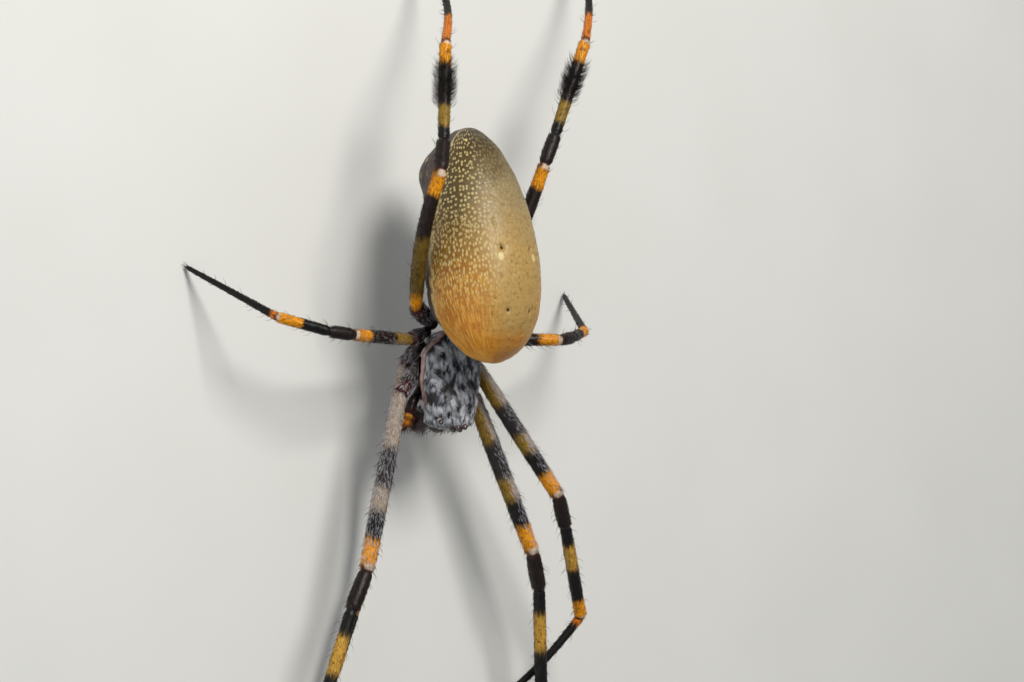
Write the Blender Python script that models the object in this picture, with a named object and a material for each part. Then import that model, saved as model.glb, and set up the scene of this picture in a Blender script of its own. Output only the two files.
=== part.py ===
"""Golden silk orb weaver: a still, life-size model of the spider, standing on its eight feet.

The head points to -Y, the back to +Z, and the spider's right side lies at -X.
Sizes are in millimetres while the shapes are made, and make_object turns them into metres.
"""
import math
import random

import bmesh
import bpy
from mathutils import Matrix, Vector

MM = 0.001
GAP = 0.3                          # clear space between neighbouring pieces

# Body
BODY_CENTRE = Vector((-0.9, 6.2, 11.2))     # middle of the prosoma, above the floor
PROSOMA_PITCH = math.radians(10)   # head held lower than the waist
CARAPACE_LENGTH = 12.0
CARAPACE_HALF_WIDTH = 4.25
HEAD_HALF_WIDTH = 3.25
HEAD_HEIGHT = 3.5
THORAX_HEIGHT = 2.1
STERNUM_DEPTH = 2.6
EYE_RADIUS = 0.27
JAW_TOP = -1.15                    # below the middle of the prosoma
JAW_LENGTH = 3.1

ABDOMEN_LENGTH = 26.6
ABDOMEN_HALF_WIDTH = 6.5
ABDOMEN_HALF_HEIGHT = 6.3
ABDOMEN_FRONT = Vector((-0.3, 1.9, 7.8))   # front end, from the middle of the prosoma
ABDOMEN_SLOPE = math.radians(12)   # the tail hangs lower than the front
ABDOMEN_TURN = math.radians(2)     # the tail is carried a little to the left
WIDEST_PLACE = 0.4                 # along the abdomen, from its front
SPINNING_FIELD = 2.1               # swelling under the tail that carries the spinnerets
BOOK_LUNGS = 0.5                   # swelling of their covers behind the waist
PEDICEL_RADIUS = 0.45
WAIST_PLACE = 0.25                 # along the underside, where the waist joins
SPINNERET_PLACE = 0.87

# Legs: lengths of coxa with trochanter, femur, patella, tibia, metatarsus and tarsus
SEGMENTS = ("coxa", "femur", "patella", "tibia", "metatarsus", "tarsus")
LEG_LENGTHS = {
    1: (4.3, 19.8, 4.9, 16.3, 21.0, 4.3),
    2: (2.7, 18.0, 4.6, 12.9, 18.8, 4.0),
    3: (2.5, 10.2, 3.1, 6.2, 9.6, 2.9),
    4: (3.4, 17.2, 4.0, 11.9, 17.6, 4.0),
}
# Radii of the same segments at their fullest
LEG_RADII = {
    1: (0.92, 0.94, 0.85, 0.72, 0.53, 0.31),
    2: (0.84, 0.90, 0.80, 0.70, 0.51, 0.30),
    3: (0.82, 0.70, 0.66, 0.58, 0.43, 0.29),
    4: (0.95, 0.80, 0.76, 0.66, 0.50, 0.30),
}
# Where each coxa leaves the prosoma: outwards, forwards and up from its middle
LEG_ROOTS = {1: (3.0, -1.2, -1.7), 2: (3.0, -3.2, -2.4), 3: (2.9, -4.9, -1.9), 4: (2.4, -6.4, -1.6)}
# Bearing of each segment in degrees, forwards from straight out sideways, and its rise.
# Metatarsus and tarsus share one bearing, and fall at the angle that brings the tip to the floor.
POSE = {
    "R1": ((46, 3), (76, 0), (61, 3), (69, -1), 70),
    "L1": ((46, -15), (68, 6), (63, -15), (80, -9), 79),
    "R2": ((88, -48), (84, -9), (78, 0), (70, -4), 78),
    "L2": ((45, 18), (58, 12), (57, -17), (60, -18), 135),
    "R3": ((16, 14), (-3, 13), (-7, -11), (-15, -17), -52),
    "L3": ((14, -20), (1, 33), (-6, -21), (-8, -34), -35),
    "R4": ((-27, 19), (-77, 28), (-116, -21), (-107, -17), -127),
    "L4": ((-40, 13), (-66, 9), (-61, -4), (-65, -2), -49),
}
# Bends away from the straight line between two joints, left, back and up
BOWS = {
    "femur_R4": Vector((-1.2, 0, 0.4)),
    "femur_L4": Vector((0.9, 0, -0.2)),
    "metatarsus_R4": Vector((0.9, 0, 0.7)),
    "metatarsus_L4": Vector((0.6, 0, 0.5)),
    "metatarsus_L2": Vector((0.7, -0.7, 0.3)),
}
FOOT_RADIUS = 0.2                  # flat under each tip
FOOT_HEIGHT = 0.27                 # of the tarsus's axis above the floor, at the tip

# Brush of bristles round each hind tibia, in flat locks
BRUSH_FROM = 0.36                  # along the tibia
BRUSH_TO = 0.79
BRUSH_ROWS = 8
LOCKS_ROUND = 6
LOCK_LENGTH = 1.75
LOCK_WIDTH = 0.8
LOCK_THICKNESS = 0.5
LOCK_ROOT_DEPTH = 0.38             # of each root below the skin
LOCK_STANCE = math.radians(56)     # from the leg's axis at the root
LOCK_BEND = math.radians(34)       # back towards the axis by the tip

BLACK_BROWN = (0.025, 0.016, 0.013)
SILVER_GREY = (0.33, 0.31, 0.29)
AMBER = (0.62, 0.30, 0.08)
OLIVE_YELLOW = (0.42, 0.27, 0.06)
DARK_RED = (0.13, 0.025, 0.015)


def make_material(name, colour, roughness):
    material = bpy.data.materials.new(name)
    material.use_nodes = True
    shader = material.node_tree.nodes["Principled BSDF"]
    shader.inputs["Base Color"].default_value = (*colour, 1.0)
    shader.inputs["Roughness"].default_value = roughness
    shader.inputs["Metallic"].default_value = 0.0
    return material


def make_object(name, mesh, colour, roughness=0.5):
    """Puts a mesh made in millimetres into the scene, in metres and with its own material."""
    mesh.transform(Matrix.Scale(MM, 4))
    mesh.materials.clear()
    mesh.materials.append(make_material(name + "_finish", colour, roughness))
    mesh.shade_smooth()
    mesh.set_sharp_from_angle(angle=math.radians(40))
    piece = bpy.data.objects.new(name, mesh)
    bpy.context.collection.objects.link(piece)
    return piece


def loft(name, rings):
    """Joins rings of equal counts into one closed mesh with flat ends."""
    bm = bmesh.new()
    loops = [[bm.verts.new(point) for point in ring] for ring in rings]
    for near, far in zip(loops, loops[1:]):
        count = len(near)
        for k in range(count):
            after = (k + 1) % count
            bm.faces.new((near[k], near[after], far[after], far[k]))
    bm.faces.new(list(reversed(loops[0])))
    bm.faces.new(loops[-1])
    bmesh.ops.recalc_face_normals(bm, faces=bm.faces)
    mesh = bpy.data.meshes.new(name)
    bm.to_mesh(mesh)
    bm.free()
    return mesh


def cross_axes(direction):
    """The two axes across a direction: one level, one as near to upright as it can be."""
    level = direction.cross(Vector((0, 0, 1))).normalized()
    return level, level.cross(direction).normalized()


def ring_at(centre, direction, radius, sides):
    level, upright = cross_axes(direction)
    points = []
    for k in range(sides):
        angle = 2 * math.pi * (k + 0.5) / sides
        points.append(centre + radius * (math.cos(angle) * level + math.sin(angle) * upright))
    return points


def slide_to_plane(points, direction, plane):
    """Moves each point along the direction until it lies in the plane."""
    place, normal = plane
    reach = direction.dot(normal)
    return [p + direction * ((place - p).dot(normal) / reach) for p in points]


def meeting_planes(joint, before, after):
    """The two parallel faces, a gap apart, where a limb's pieces meet at a joint."""
    normal = (before + after).normalized()
    half_gap = normal * GAP / 2
    return (joint - half_gap, normal), (joint + half_gap, normal)


def limb(name, start, end, radius_at, steps, sides, faces, bow=Vector((0, 0, 0))):
    """A tapered, slightly bowed limb piece between two joints, cut to its end faces."""
    length = (end - start).length
    straight = (end - start) / length
    rings = []
    for i, t in enumerate(steps):
        centre = start.lerp(end, t) + bow * math.sin(math.pi * t)
        direction = (straight + bow * (math.pi / length) * math.cos(math.pi * t)).normalized()
        ring = ring_at(centre, direction, radius_at(t), sides)
        if i == 0:
            ring = slide_to_plane(ring, direction, faces[0])
        if i == len(steps) - 1:
            ring = slide_to_plane(ring, direction, faces[1])
        rings.append(ring)
    return loft(name, rings)


def swell(full, start, end, peak=0.45):
    """A limb's radius along its length: narrow at the joints, full between them."""
    def radius_at(t):
        side = start if t < peak else end
        away = abs(t - peak) / (peak if t < peak else 1 - peak)
        return full * (1 - (1 - side) * away ** 2.6)
    return radius_at


def taper(start, end):
    return lambda t: start + (end - start) * t


def aim(side, bearing, rise):
    """Unit vector for a bearing forwards from straight out, on the right or left side."""
    outward = -1 if side == "R" else 1
    bearing = math.radians(bearing)
    rise = math.radians(rise)
    return Vector((
        outward * math.cos(bearing) * math.cos(rise),
        -math.sin(bearing) * math.cos(rise),
        math.sin(rise),
    ))


def prosoma_frame():
    """Matrix from the prosoma's own frame, left, back and up, to the model's."""
    return Matrix.Translation(BODY_CENTRE) @ Matrix.Rotation(PROSOMA_PITCH, 4, "X")


def on_prosoma(outward, forward, up):
    return prosoma_frame() @ Vector((outward, -forward, up))


def leg_joints(leg):
    """Joint places of a leg from its root to its tip, and the bearing of each segment."""
    side = leg[0]
    pair = int(leg[1])
    outward, forward, up = LEG_ROOTS[pair]
    joints = [on_prosoma(outward if side == "L" else -outward, forward, up)]
    directions = []
    lengths = LEG_LENGTHS[pair]
    for length, (bearing, rise) in zip(lengths, POSE[leg][:4]):
        direction = aim(side, bearing, rise)
        joints.append(joints[-1] + direction * length)
        directions.append(direction)
    drop = joints[-1].z - FOOT_HEIGHT
    fall = -math.degrees(math.asin(drop / (lengths[4] + lengths[5])))
    foot = aim(side, POSE[leg][4], fall)
    for length in lengths[4:]:
        joints.append(joints[-1] + foot * length)
        directions.append(foot)
    return joints, directions


LONG_STEPS = (0, 0.07, 0.2, 0.4, 0.6, 0.8, 0.93, 1)
SHORT_STEPS = (0, 0.22, 0.5, 0.78, 1)
FOOT_STEPS = (0, 0.08, 0.35, 0.7, 0.95, 1)


def segment_form(pair, segment):
    """Radius along the segment, the rings that it is made from and its number of sides."""
    full = LEG_RADII[pair][SEGMENTS.index(segment)]
    foot_root = LEG_RADII[pair][5]
    forms = {
        "coxa": (swell(full, 0.78, 0.86, 0.5), SHORT_STEPS, 12),
        "femur": (swell(full, 0.82, 0.86, 0.4), LONG_STEPS, 12),
        "patella": (swell(full, 0.88, 0.86, 0.5), SHORT_STEPS, 12),
        "tibia": (swell(full, 0.9, 1.0, 0.35), LONG_STEPS, 12),
        "metatarsus": (taper(full, foot_root), FOOT_STEPS, 10),
    }
    return forms[segment]


def make_tarsus(name, start, end, direction, face, root_radius):
    """The last piece of a leg, ending in a small flat on the floor."""
    sides = 10
    level, _ = cross_axes(direction)
    ahead = Vector((direction.x, direction.y, 0)).normalized()
    rings = []
    for t, share in ((0, 1.0), (0.12, 1.0), (0.5, 0.95), (0.9, 0.88)):
        ring = ring_at(start.lerp(end, t), direction, root_radius * share, sides)
        rings.append(slide_to_plane(ring, direction, face) if t == 0 else ring)
    sole = []
    for k in range(sides):
        angle = 2 * math.pi * (k + 0.5) / sides
        offset = FOOT_RADIUS * (math.cos(angle) * level + math.sin(angle) * ahead)
        sole.append(Vector((end.x + offset.x, end.y + offset.y, 0)))
    rings.append(sole)
    return loft(name, rings)


def make_lock(root, axis, outward, length, width):
    """One flat, tapered lock that leaves a leg at a slant and bends towards its tip."""
    across = axis.cross(outward).normalized()
    outline = ((0, 0.8, 1.0), (0.3, 1.0, 1.0), (0.55, 0.95, 0.8), (0.8, 0.65, 0.55), (1, 0.22, 0.3))
    rings = []
    place = root.copy()
    reached = 0.0
    for share, wide, thick in outline:
        slant = LOCK_STANCE - LOCK_BEND * share
        way = axis * math.cos(slant) + outward * math.sin(slant)
        place = place + way * (share - reached) * length
        reached = share
        half_width = across * width * wide / 2
        half_thick = across.cross(way).normalized() * LOCK_THICKNESS * thick / 2
        rings.append([place + half_width, place + half_thick, place - half_width, place - half_thick])
    return loft("lock", rings)


def brush_locks(start, end, radius_at):
    """Rows of overlapping locks, staggered from row to row and a little uneven."""
    draw = random.Random(44)
    axis = (end - start).normalized()
    level, upright = cross_axes(axis)
    locks = []
    for row in range(BRUSH_ROWS):
        for k in range(LOCKS_ROUND):
            t = BRUSH_FROM + (BRUSH_TO - BRUSH_FROM) * (row + draw.uniform(-0.25, 0.25)) / BRUSH_ROWS
            angle = 2 * math.pi * (k + 0.5 * (row % 2) + draw.uniform(-0.12, 0.12)) / LOCKS_ROUND
            outward = math.cos(angle) * level + math.sin(angle) * upright
            root = start.lerp(end, t) + outward * (radius_at(t) - LOCK_ROOT_DEPTH)
            length = LOCK_LENGTH * draw.uniform(0.85, 1.1)
            locks.append(make_lock(root, axis, outward, length, LOCK_WIDTH * draw.uniform(0.9, 1.1)))
    return locks


def make_leg(leg):
    pair = int(leg[1])
    joints, directions = leg_joints(leg)
    radii = LEG_RADII[pair]
    colours = (SILVER_GREY, OLIVE_YELLOW, BLACK_BROWN, BLACK_BROWN, BLACK_BROWN, BLACK_BROWN)
    root_face = (joints[0] + directions[0] * GAP, directions[0])
    for i, segment in enumerate(SEGMENTS):
        name = f"{segment}_{leg}"
        start, end = joints[i], joints[i + 1]
        if i + 1 < len(SEGMENTS):
            end_face, next_face = meeting_planes(end, directions[i], directions[i + 1])
        if segment == "tarsus":
            mesh = make_tarsus(name, start, end, directions[i], root_face, radii[5])
        else:
            radius_at, steps, sides = segment_form(pair, segment)
            bow = BOWS.get(name, Vector())
            mesh = limb(name, start, end, radius_at, steps, sides, (root_face, end_face), bow)
        if segment == "tibia" and pair == 4:
            mesh = fuse(name, [mesh] + brush_locks(start, end, radius_at))
        make_object(name, mesh, colours[i], 0.45)
        root_face = next_face


def superellipse(share, power):
    """Height of a unit superellipse at a share of its half-length from the middle."""
    return max(0.0, 1 - abs(share) ** power) ** (1 / power)


def abdomen_frame():
    """Matrix from the abdomen's own frame, left, tailwards and up from its front end."""
    turn = Matrix.Rotation(-ABDOMEN_TURN, 4, "Z") @ Matrix.Rotation(-ABDOMEN_SLOPE, 4, "X")
    return Matrix.Translation(BODY_CENTRE + ABDOMEN_FRONT) @ turn


def abdomen_point(along, around):
    """A point of the abdomen's surface: along from 0 to 1, around from its left side upwards."""
    if along < WIDEST_PLACE:
        fullness = superellipse((WIDEST_PLACE - along) / WIDEST_PLACE, 2.2)
    else:
        fullness = superellipse((along - WIDEST_PLACE) / (1 - WIDEST_PLACE), 1.9)
    below = max(0.0, -math.sin(around))
    hollow = 1 - 0.42 * math.exp(-(along / 0.2) ** 2) * below
    swelling = SPINNING_FIELD * math.exp(-((along - 0.86) / 0.11) ** 2) * below
    swelling += BOOK_LUNGS * math.exp(-((along - 0.26) / 0.07) ** 2) * below ** 2
    return abdomen_frame() @ Vector((
        (ABDOMEN_HALF_WIDTH * fullness + swelling) * math.cos(around),
        ABDOMEN_LENGTH * along,
        (ABDOMEN_HALF_HEIGHT * fullness * hollow + swelling) * math.sin(around),
    ))


def abdomen_normal(along, around):
    """Outward direction square to the abdomen's surface."""
    step = 0.01
    lengthwise = abdomen_point(along + step, around) - abdomen_point(along - step, around)
    across = abdomen_point(along, around + step) - abdomen_point(along, around - step)
    return lengthwise.cross(across).normalized()


def make_abdomen():
    rings_count = 22
    sides = 24
    rings = []
    for i in range(rings_count + 1):
        along = 0.5 - 0.5 * math.cos(math.pi * (0.04 + 0.92 * i / rings_count))
        rings.append([abdomen_point(along, 2 * math.pi * k / sides) for k in range(sides)])
    make_object("abdomen", loft("abdomen", rings), AMBER, 0.45)


def between(value, places):
    """Smooth curve through (place, height) pairs, read at a value."""
    for (x0, y0), (x1, y1) in zip(places, places[1:]):
        if value <= x1:
            share = (value - x0) / (x1 - x0)
            share = share * share * (3 - 2 * share)
            return y0 + (y1 - y0) * share
    return places[-1][1]


def prosoma_section(forward):
    """One cross-section of the prosoma: domed carapace, its rim, and the narrower underside."""
    rear, front = -0.48 * CARAPACE_LENGTH, 0.46 * CARAPACE_LENGTH
    rim = between(forward, ((rear, 0.4 * CARAPACE_HALF_WIDTH), (-2.8, CARAPACE_HALF_WIDTH),
                            (-0.4, CARAPACE_HALF_WIDTH * 0.98), (2.8, HEAD_HALF_WIDTH),
                            (4.4, HEAD_HALF_WIDTH * 0.9), (front, HEAD_HALF_WIDTH * 0.72)))
    top = between(forward, ((rear, 0.3 * THORAX_HEIGHT), (-2.8, THORAX_HEIGHT),
                            (-0.8, THORAX_HEIGHT * 1.04), (2.4, HEAD_HEIGHT),
                            (4.2, HEAD_HEIGHT * 0.95), (front, HEAD_HEIGHT * 0.62)))
    depth = between(forward, ((rear, 0.3 * STERNUM_DEPTH), (-4.6, STERNUM_DEPTH * 0.92),
                              (-1.2, STERNUM_DEPTH), (2.2, STERNUM_DEPTH * 0.1),
                              (front, 0.0)))
    belly = between(forward, ((rear, 1.2), (-4.2, 2.35), (0.0, 2.45), (front, 1.5)))
    half = [(math.sin(a) ** 0.85 * rim, math.cos(a) ** 0.9 * top)
            for a in (math.pi / 2 * k / 6 for k in range(1, 6))]
    half.append((rim, 0.0))
    half.append((rim * 0.97, -0.25))
    half.append((belly, -0.4 - 0.1 * depth))
    half.append((belly * 0.97, -0.45 - 0.62 * depth))
    half.append((belly * 0.6, -0.5 - 0.95 * depth))
    right = [(-x, u) for x, u in reversed(half)]
    section = [(0.0, top)] + half + [(0.0, -0.5 - depth)] + right
    return [on_prosoma(x, forward, u) for x, u in section]


def ball(centre, radii, turn=None, detail=(10, 6)):
    """A closed ellipsoid as a mesh object, ready to be joined to others."""
    bm = bmesh.new()
    bmesh.ops.create_uvsphere(bm, u_segments=detail[0], v_segments=detail[1], radius=1.0)
    matrix = Matrix.Translation(centre) @ (turn or Matrix()) @ Matrix.Diagonal((*radii, 1.0))
    bmesh.ops.transform(bm, matrix=matrix, verts=bm.verts)
    mesh = bpy.data.meshes.new("ball")
    bm.to_mesh(mesh)
    bm.free()
    return mesh


def largest_surface(bm):
    """Keeps only the largest closed surface of a mesh."""
    islands = []
    left = set(bm.verts)
    while left:
        seed = left.pop()
        island = [seed]
        waiting = [seed]
        while waiting:
            for edge in waiting.pop().link_edges:
                for vert in edge.verts:
                    if vert in left:
                        left.remove(vert)
                        island.append(vert)
                        waiting.append(vert)
        islands.append(island)
    islands.sort(key=len, reverse=True)
    scraps = [vert for island in islands[1:] for vert in island]
    bmesh.ops.delete(bm, geom=scraps, context="VERTS")


def fuse(name, meshes):
    """One closed mesh from several that cross, by one union."""
    collection = bpy.data.collections.new(name + "_pieces")
    base = bpy.data.objects.new(name + "_base", meshes[0])
    bpy.context.collection.objects.link(base)
    bpy.context.scene.collection.children.link(collection)
    for mesh in meshes[1:]:
        collection.objects.link(bpy.data.objects.new(name + "_piece", mesh))
    union = base.modifiers.new("union", "BOOLEAN")
    union.operation = "UNION"
    union.solver = "EXACT"
    union.operand_type = "COLLECTION"
    union.collection = collection
    graph = bpy.context.evaluated_depsgraph_get()
    bm = bmesh.new()
    bm.from_mesh(base.evaluated_get(graph).to_mesh())
    base.evaluated_get(graph).to_mesh_clear()
    for piece in list(collection.objects):
        bpy.data.objects.remove(piece)
    bpy.data.collections.remove(collection)
    bpy.data.objects.remove(base)
    bmesh.ops.triangulate(bm, faces=bm.faces)
    largest_surface(bm)
    mesh = bpy.data.meshes.new(name)
    bm.to_mesh(mesh)
    bm.free()
    return mesh


def make_prosoma():
    """Carapace and sternum with the lip, the palps' bases and the eight eyes, as one piece."""
    rear, front = -0.48 * CARAPACE_LENGTH, 0.46 * CARAPACE_LENGTH
    stations = [rear + (front - rear) * (0.5 - 0.5 * math.cos(math.pi * (0.05 + 0.9 * i / 15)))
                for i in range(16)]
    meshes = [loft("prosoma", [prosoma_section(f) for f in reversed(stations)])]
    eyes = (
        (0.46, 5.15, 2.35), (0.50, 4.75, 3.15),      # middle pairs, front and rear
        (2.05, 4.75, 1.75), (2.25, 4.35, 2.20),      # side pairs
    )
    for outward, forward, up in eyes:
        for side in (-1, 1):
            place = on_prosoma(side * outward, forward, up)
            meshes.append(ball(place, (EYE_RADIUS,) * 3))
    meshes.append(ball(on_prosoma(0, 0.2, -2.75), (0.85, 1.1, 0.7), detail=(12, 6)))
    for side in (-1, 1):
        meshes.append(ball(on_prosoma(side * 1.55, 1.1, -2.2), (0.8, 1.7, 0.85), detail=(12, 6)))
    make_object("prosoma", fuse("prosoma", meshes), SILVER_GREY, 0.6)


def make_pedicel():
    """The narrow waist between prosoma and abdomen."""
    start = on_prosoma(0, -0.48 * CARAPACE_LENGTH - GAP, -0.9)
    normal = abdomen_normal(WAIST_PLACE, -math.pi / 2)
    end = abdomen_point(WAIST_PLACE, -math.pi / 2) + normal * GAP
    faces = ((start, on_prosoma(0, -1, 0) - on_prosoma(0, 0, 0)), (end, -normal))
    mesh = limb("pedicel", start, end, taper(PEDICEL_RADIUS, PEDICEL_RADIUS), (0, 0.5, 1), 12, faces)
    make_object("pedicel", mesh, DARK_RED, 0.5)


def make_chelicera(side):
    """A stout jaw below the face, bulging forwards."""
    outward = -1 if side == "R" else 1
    sides = 14
    rings = []
    for t in (0, 0.1, 0.28, 0.5, 0.72, 0.9, 1):
        fullness = superellipse((t - 0.42) / 0.68, 2.6)
        centre_forward = 4.4 + 0.8 * math.sin(math.pi * min(1, t * 1.1 + 0.05))
        ring = []
        for k in range(sides):
            angle = 2 * math.pi * k / sides
            ring.append(on_prosoma(outward * 1.42 + 1.2 * fullness * math.cos(angle),
                                   centre_forward + 1.3 * fullness * math.sin(angle),
                                   JAW_TOP - JAW_LENGTH * t))
        rings.append(ring)
    make_object(f"chelicera_{side}", loft("chelicera", rings), BLACK_BROWN, 0.35)


def make_fang(side):
    """The curved fang, folded inwards and back across the jaw's end."""
    outward = -1 if side == "R" else 1
    rings = []
    turns = 5
    for i in range(turns + 1):
        sweep = math.radians(100) * i / turns
        place = Vector((1.75 - 0.95 * math.sin(sweep), 4.7 - 0.75 * (1 - math.cos(sweep)),
                        JAW_TOP - JAW_LENGTH - GAP - 0.55 * math.sin(sweep)))
        radius = 0.34 - 0.27 * i / turns
        ahead = on_prosoma(outward * -0.95 * math.cos(sweep), -0.75 * math.sin(sweep),
                           -0.55 * math.cos(sweep) - 0.2) - on_prosoma(0, 0, 0)
        centre = on_prosoma(outward * place.x, place.y, place.z - radius * 0.2)
        rings.append(ring_at(centre, ahead.normalized(), radius, 8))
    flat_root = on_prosoma(0, 0, 1) - on_prosoma(0, 0, 0)
    root = on_prosoma(outward * 1.75, 4.7, JAW_TOP - JAW_LENGTH - GAP)
    rings[0] = slide_to_plane(rings[0], flat_root, (root, flat_root))
    make_object(f"fang_{side}", loft("fang", rings), BLACK_BROWN, 0.25)


def make_palp(side):
    """A feeler beside the jaws: reaching forwards, then folded down to their ends."""
    outward = -1 if side == "R" else 1
    places = [on_prosoma(outward * x, f, u) for x, f, u in (
        (2.75, 1.9, -1.75), (3.5, 2.8, -1.5), (3.9, 3.8, -1.4), (4.0, 4.8, -1.6),
        (3.9, 5.5, -2.05), (3.7, 5.75, -2.55), (3.5, 5.75, -3.0))]
    radii = (0.45, 0.52, 0.45, 0.5, 0.46, 0.42, 0.24)
    rings = []
    for i, place in enumerate(places):
        before = places[max(i - 1, 0)]
        after = places[min(i + 1, len(places) - 1)]
        rings.append(ring_at(place, (after - before).normalized(), radii[i], 10))
    make_object(f"palp_{side}", loft("palp", rings), DARK_RED, 0.45)


def make_spinnerets():
    """The group of silk spigots under the tail, with the small knob behind them."""
    down = -math.pi / 2
    normal = abdomen_normal(SPINNERET_PLACE, down)
    root = abdomen_point(SPINNERET_PLACE, down) + normal * GAP
    tailwards = abdomen_point(SPINNERET_PLACE + 0.02, down) - abdomen_point(SPINNERET_PLACE, down)
    tailwards.normalize()
    left = normal.cross(tailwards)
    base = loft("base", [ring_at(root + normal * height, normal, radius, 14)
                         for height, radius in ((0, 1.35), (0.35, 1.3), (0.7, 0.95))])
    meshes = [base]
    spigots = (
        (0.5, -0.45, 0.46, 1.5, 0.15), (0.42, 0.35, 0.36, 1.3, 0.45), (0.0, 0.8, 0.34, 0.9, 0.7),
    )
    for across, behind, radius, length, lean in spigots:
        for side in ((-1, 1) if across else (1,)):
            start = root + left * across * side + tailwards * behind + normal * 0.3
            way = (normal + tailwards * lean - left * 0.2 * side).normalized()
            rings = [ring_at(start + way * length * t, way, radius * share, 8)
                     for t, share in ((0, 1), (0.6, 0.9), (0.9, 0.6), (1, 0.3))]
            meshes.append(loft("spigot", rings))
    make_object("spinnerets", fuse("spinnerets", meshes), OLIVE_YELLOW, 0.5)


def clear_scene():
    for piece in list(bpy.data.objects):
        bpy.data.objects.remove(piece)


def main():
    clear_scene()
    make_prosoma()
    make_pedicel()
    make_abdomen()
    make_spinnerets()
    for side in ("R", "L"):
        make_chelicera(side)
        make_fang(side)
        make_palp(side)
    for leg in POSE:
        make_leg(leg)


main()
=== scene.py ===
"""Looks of the golden silk orb weaver: skins, coat, eyes, floor, light and camera round its solids.

The head points to -Y, the back to +Z, and the spider's right side lies at -X. Sizes are in
millimetres while the shapes are made, and make_piece turns them into metres.
"""

import math

import bpy
import numpy as np
from mathutils import Matrix, Vector


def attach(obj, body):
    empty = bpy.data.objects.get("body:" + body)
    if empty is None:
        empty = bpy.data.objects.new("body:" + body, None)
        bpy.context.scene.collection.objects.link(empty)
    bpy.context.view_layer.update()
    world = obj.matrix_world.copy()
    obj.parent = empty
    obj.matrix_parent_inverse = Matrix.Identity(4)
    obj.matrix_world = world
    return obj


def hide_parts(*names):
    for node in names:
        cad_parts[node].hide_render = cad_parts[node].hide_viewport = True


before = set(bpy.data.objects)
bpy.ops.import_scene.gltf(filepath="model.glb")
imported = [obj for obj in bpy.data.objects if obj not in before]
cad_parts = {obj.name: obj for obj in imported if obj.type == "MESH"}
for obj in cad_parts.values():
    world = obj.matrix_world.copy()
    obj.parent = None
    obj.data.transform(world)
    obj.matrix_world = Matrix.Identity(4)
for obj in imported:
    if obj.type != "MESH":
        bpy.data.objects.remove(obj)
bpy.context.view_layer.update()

MM = 0.001

# Body, as in the solids
BODY_CENTRE = Vector((-0.9, 6.2, 11.2))
PROSOMA_PITCH = math.radians(10)
CARAPACE_LENGTH = 12.0
CARAPACE_HALF_WIDTH = 4.25
HEAD_HALF_WIDTH = 3.25
HEAD_HEIGHT = 3.5
THORAX_HEIGHT = 2.1
STERNUM_DEPTH = 2.6
PROSOMA_REAR = -0.48 * CARAPACE_LENGTH
PROSOMA_FRONT = 0.46 * CARAPACE_LENGTH
JAW_TOP = -1.15
JAW_LENGTH = 3.1
ABDOMEN_LENGTH = 26.6
ABDOMEN_HALF_WIDTH = 6.5
ABDOMEN_HALF_HEIGHT = 6.3
ABDOMEN_FRONT = Vector((-0.3, 1.9, 7.8))
ABDOMEN_SLOPE = math.radians(12)
ABDOMEN_TURN = math.radians(2)
WIDEST_PLACE = 0.4
SPINNING_FIELD = 2.1
BOOK_LUNGS = 0.5
PEDICEL_RADIUS = 0.45
WAIST_PLACE = 0.25
SPINNERET_PLACE = 0.87

# Legs, as in the solids
SEGMENTS = ("coxa", "femur", "patella", "tibia", "metatarsus", "tarsus")
LEG_LENGTHS = {
    1: (4.3, 19.8, 4.9, 16.3, 21.0, 4.3),
    2: (2.7, 18.0, 4.6, 12.9, 18.8, 4.0),
    3: (2.5, 10.2, 3.1, 6.2, 9.6, 2.9),
    4: (3.4, 17.2, 4.0, 11.9, 17.6, 4.0),
}
LEG_RADII = {
    1: (0.92, 0.94, 0.85, 0.72, 0.53, 0.31),
    2: (0.84, 0.90, 0.80, 0.70, 0.51, 0.30),
    3: (0.82, 0.70, 0.66, 0.58, 0.43, 0.29),
    4: (0.95, 0.80, 0.76, 0.66, 0.50, 0.30),
}
LEG_ROOTS = {1: (3.0, -1.2, -1.7), 2: (3.0, -3.2, -2.4), 3: (2.9, -4.9, -1.9), 4: (2.4, -6.4, -1.6)}
POSE = {
    "R1": ((46, 3), (76, 0), (61, 3), (69, -1), 70),
    "L1": ((46, -15), (68, 6), (63, -15), (80, -9), 79),
    "R2": ((88, -48), (84, -9), (78, 0), (70, -4), 78),
    "L2": ((45, 18), (58, 12), (57, -17), (60, -18), 135),
    "R3": ((16, 14), (-3, 13), (-7, -11), (-15, -17), -52),
    "L3": ((14, -20), (1, 33), (-6, -21), (-8, -34), -35),
    "R4": ((-27, 19), (-77, 28), (-116, -21), (-107, -17), -127),
    "L4": ((-40, 13), (-66, 9), (-61, -4), (-65, -2), -49),
}
BOWS = {
    "femur_R4": Vector((-1.2, 0, 0.4)),
    "femur_L4": Vector((0.9, 0, -0.2)),
    "metatarsus_R4": Vector((0.9, 0, 0.7)),
    "metatarsus_L4": Vector((0.6, 0, 0.5)),
    "metatarsus_L2": Vector((0.7, -0.7, 0.3)),
}
FOOT_HEIGHT = 0.27
BRUSH_FROM = 0.36
BRUSH_TO = 0.79

# Camera: it looks at the right side from above
VIEW_TILT = math.radians(42.3)       # away from straight down, towards the right side
VIEW_SHIFT = (7.11, 4.33)            # of the picture's middle from the prosoma's, in the picture
VIEW_DISTANCE = 427.0
PICTURE_WIDTH = 1024
PIXELS_PER_MM = 9.0


def tint(red, green, blue):
    """A linear colour from the 0 to 255 values that a screen shows."""
    def linear(value):
        value = value / 255
        return value / 12.92 if value <= 0.04045 else ((value + 0.055) / 1.055) ** 2.4
    return linear(red), linear(green), linear(blue), 1.0


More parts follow.
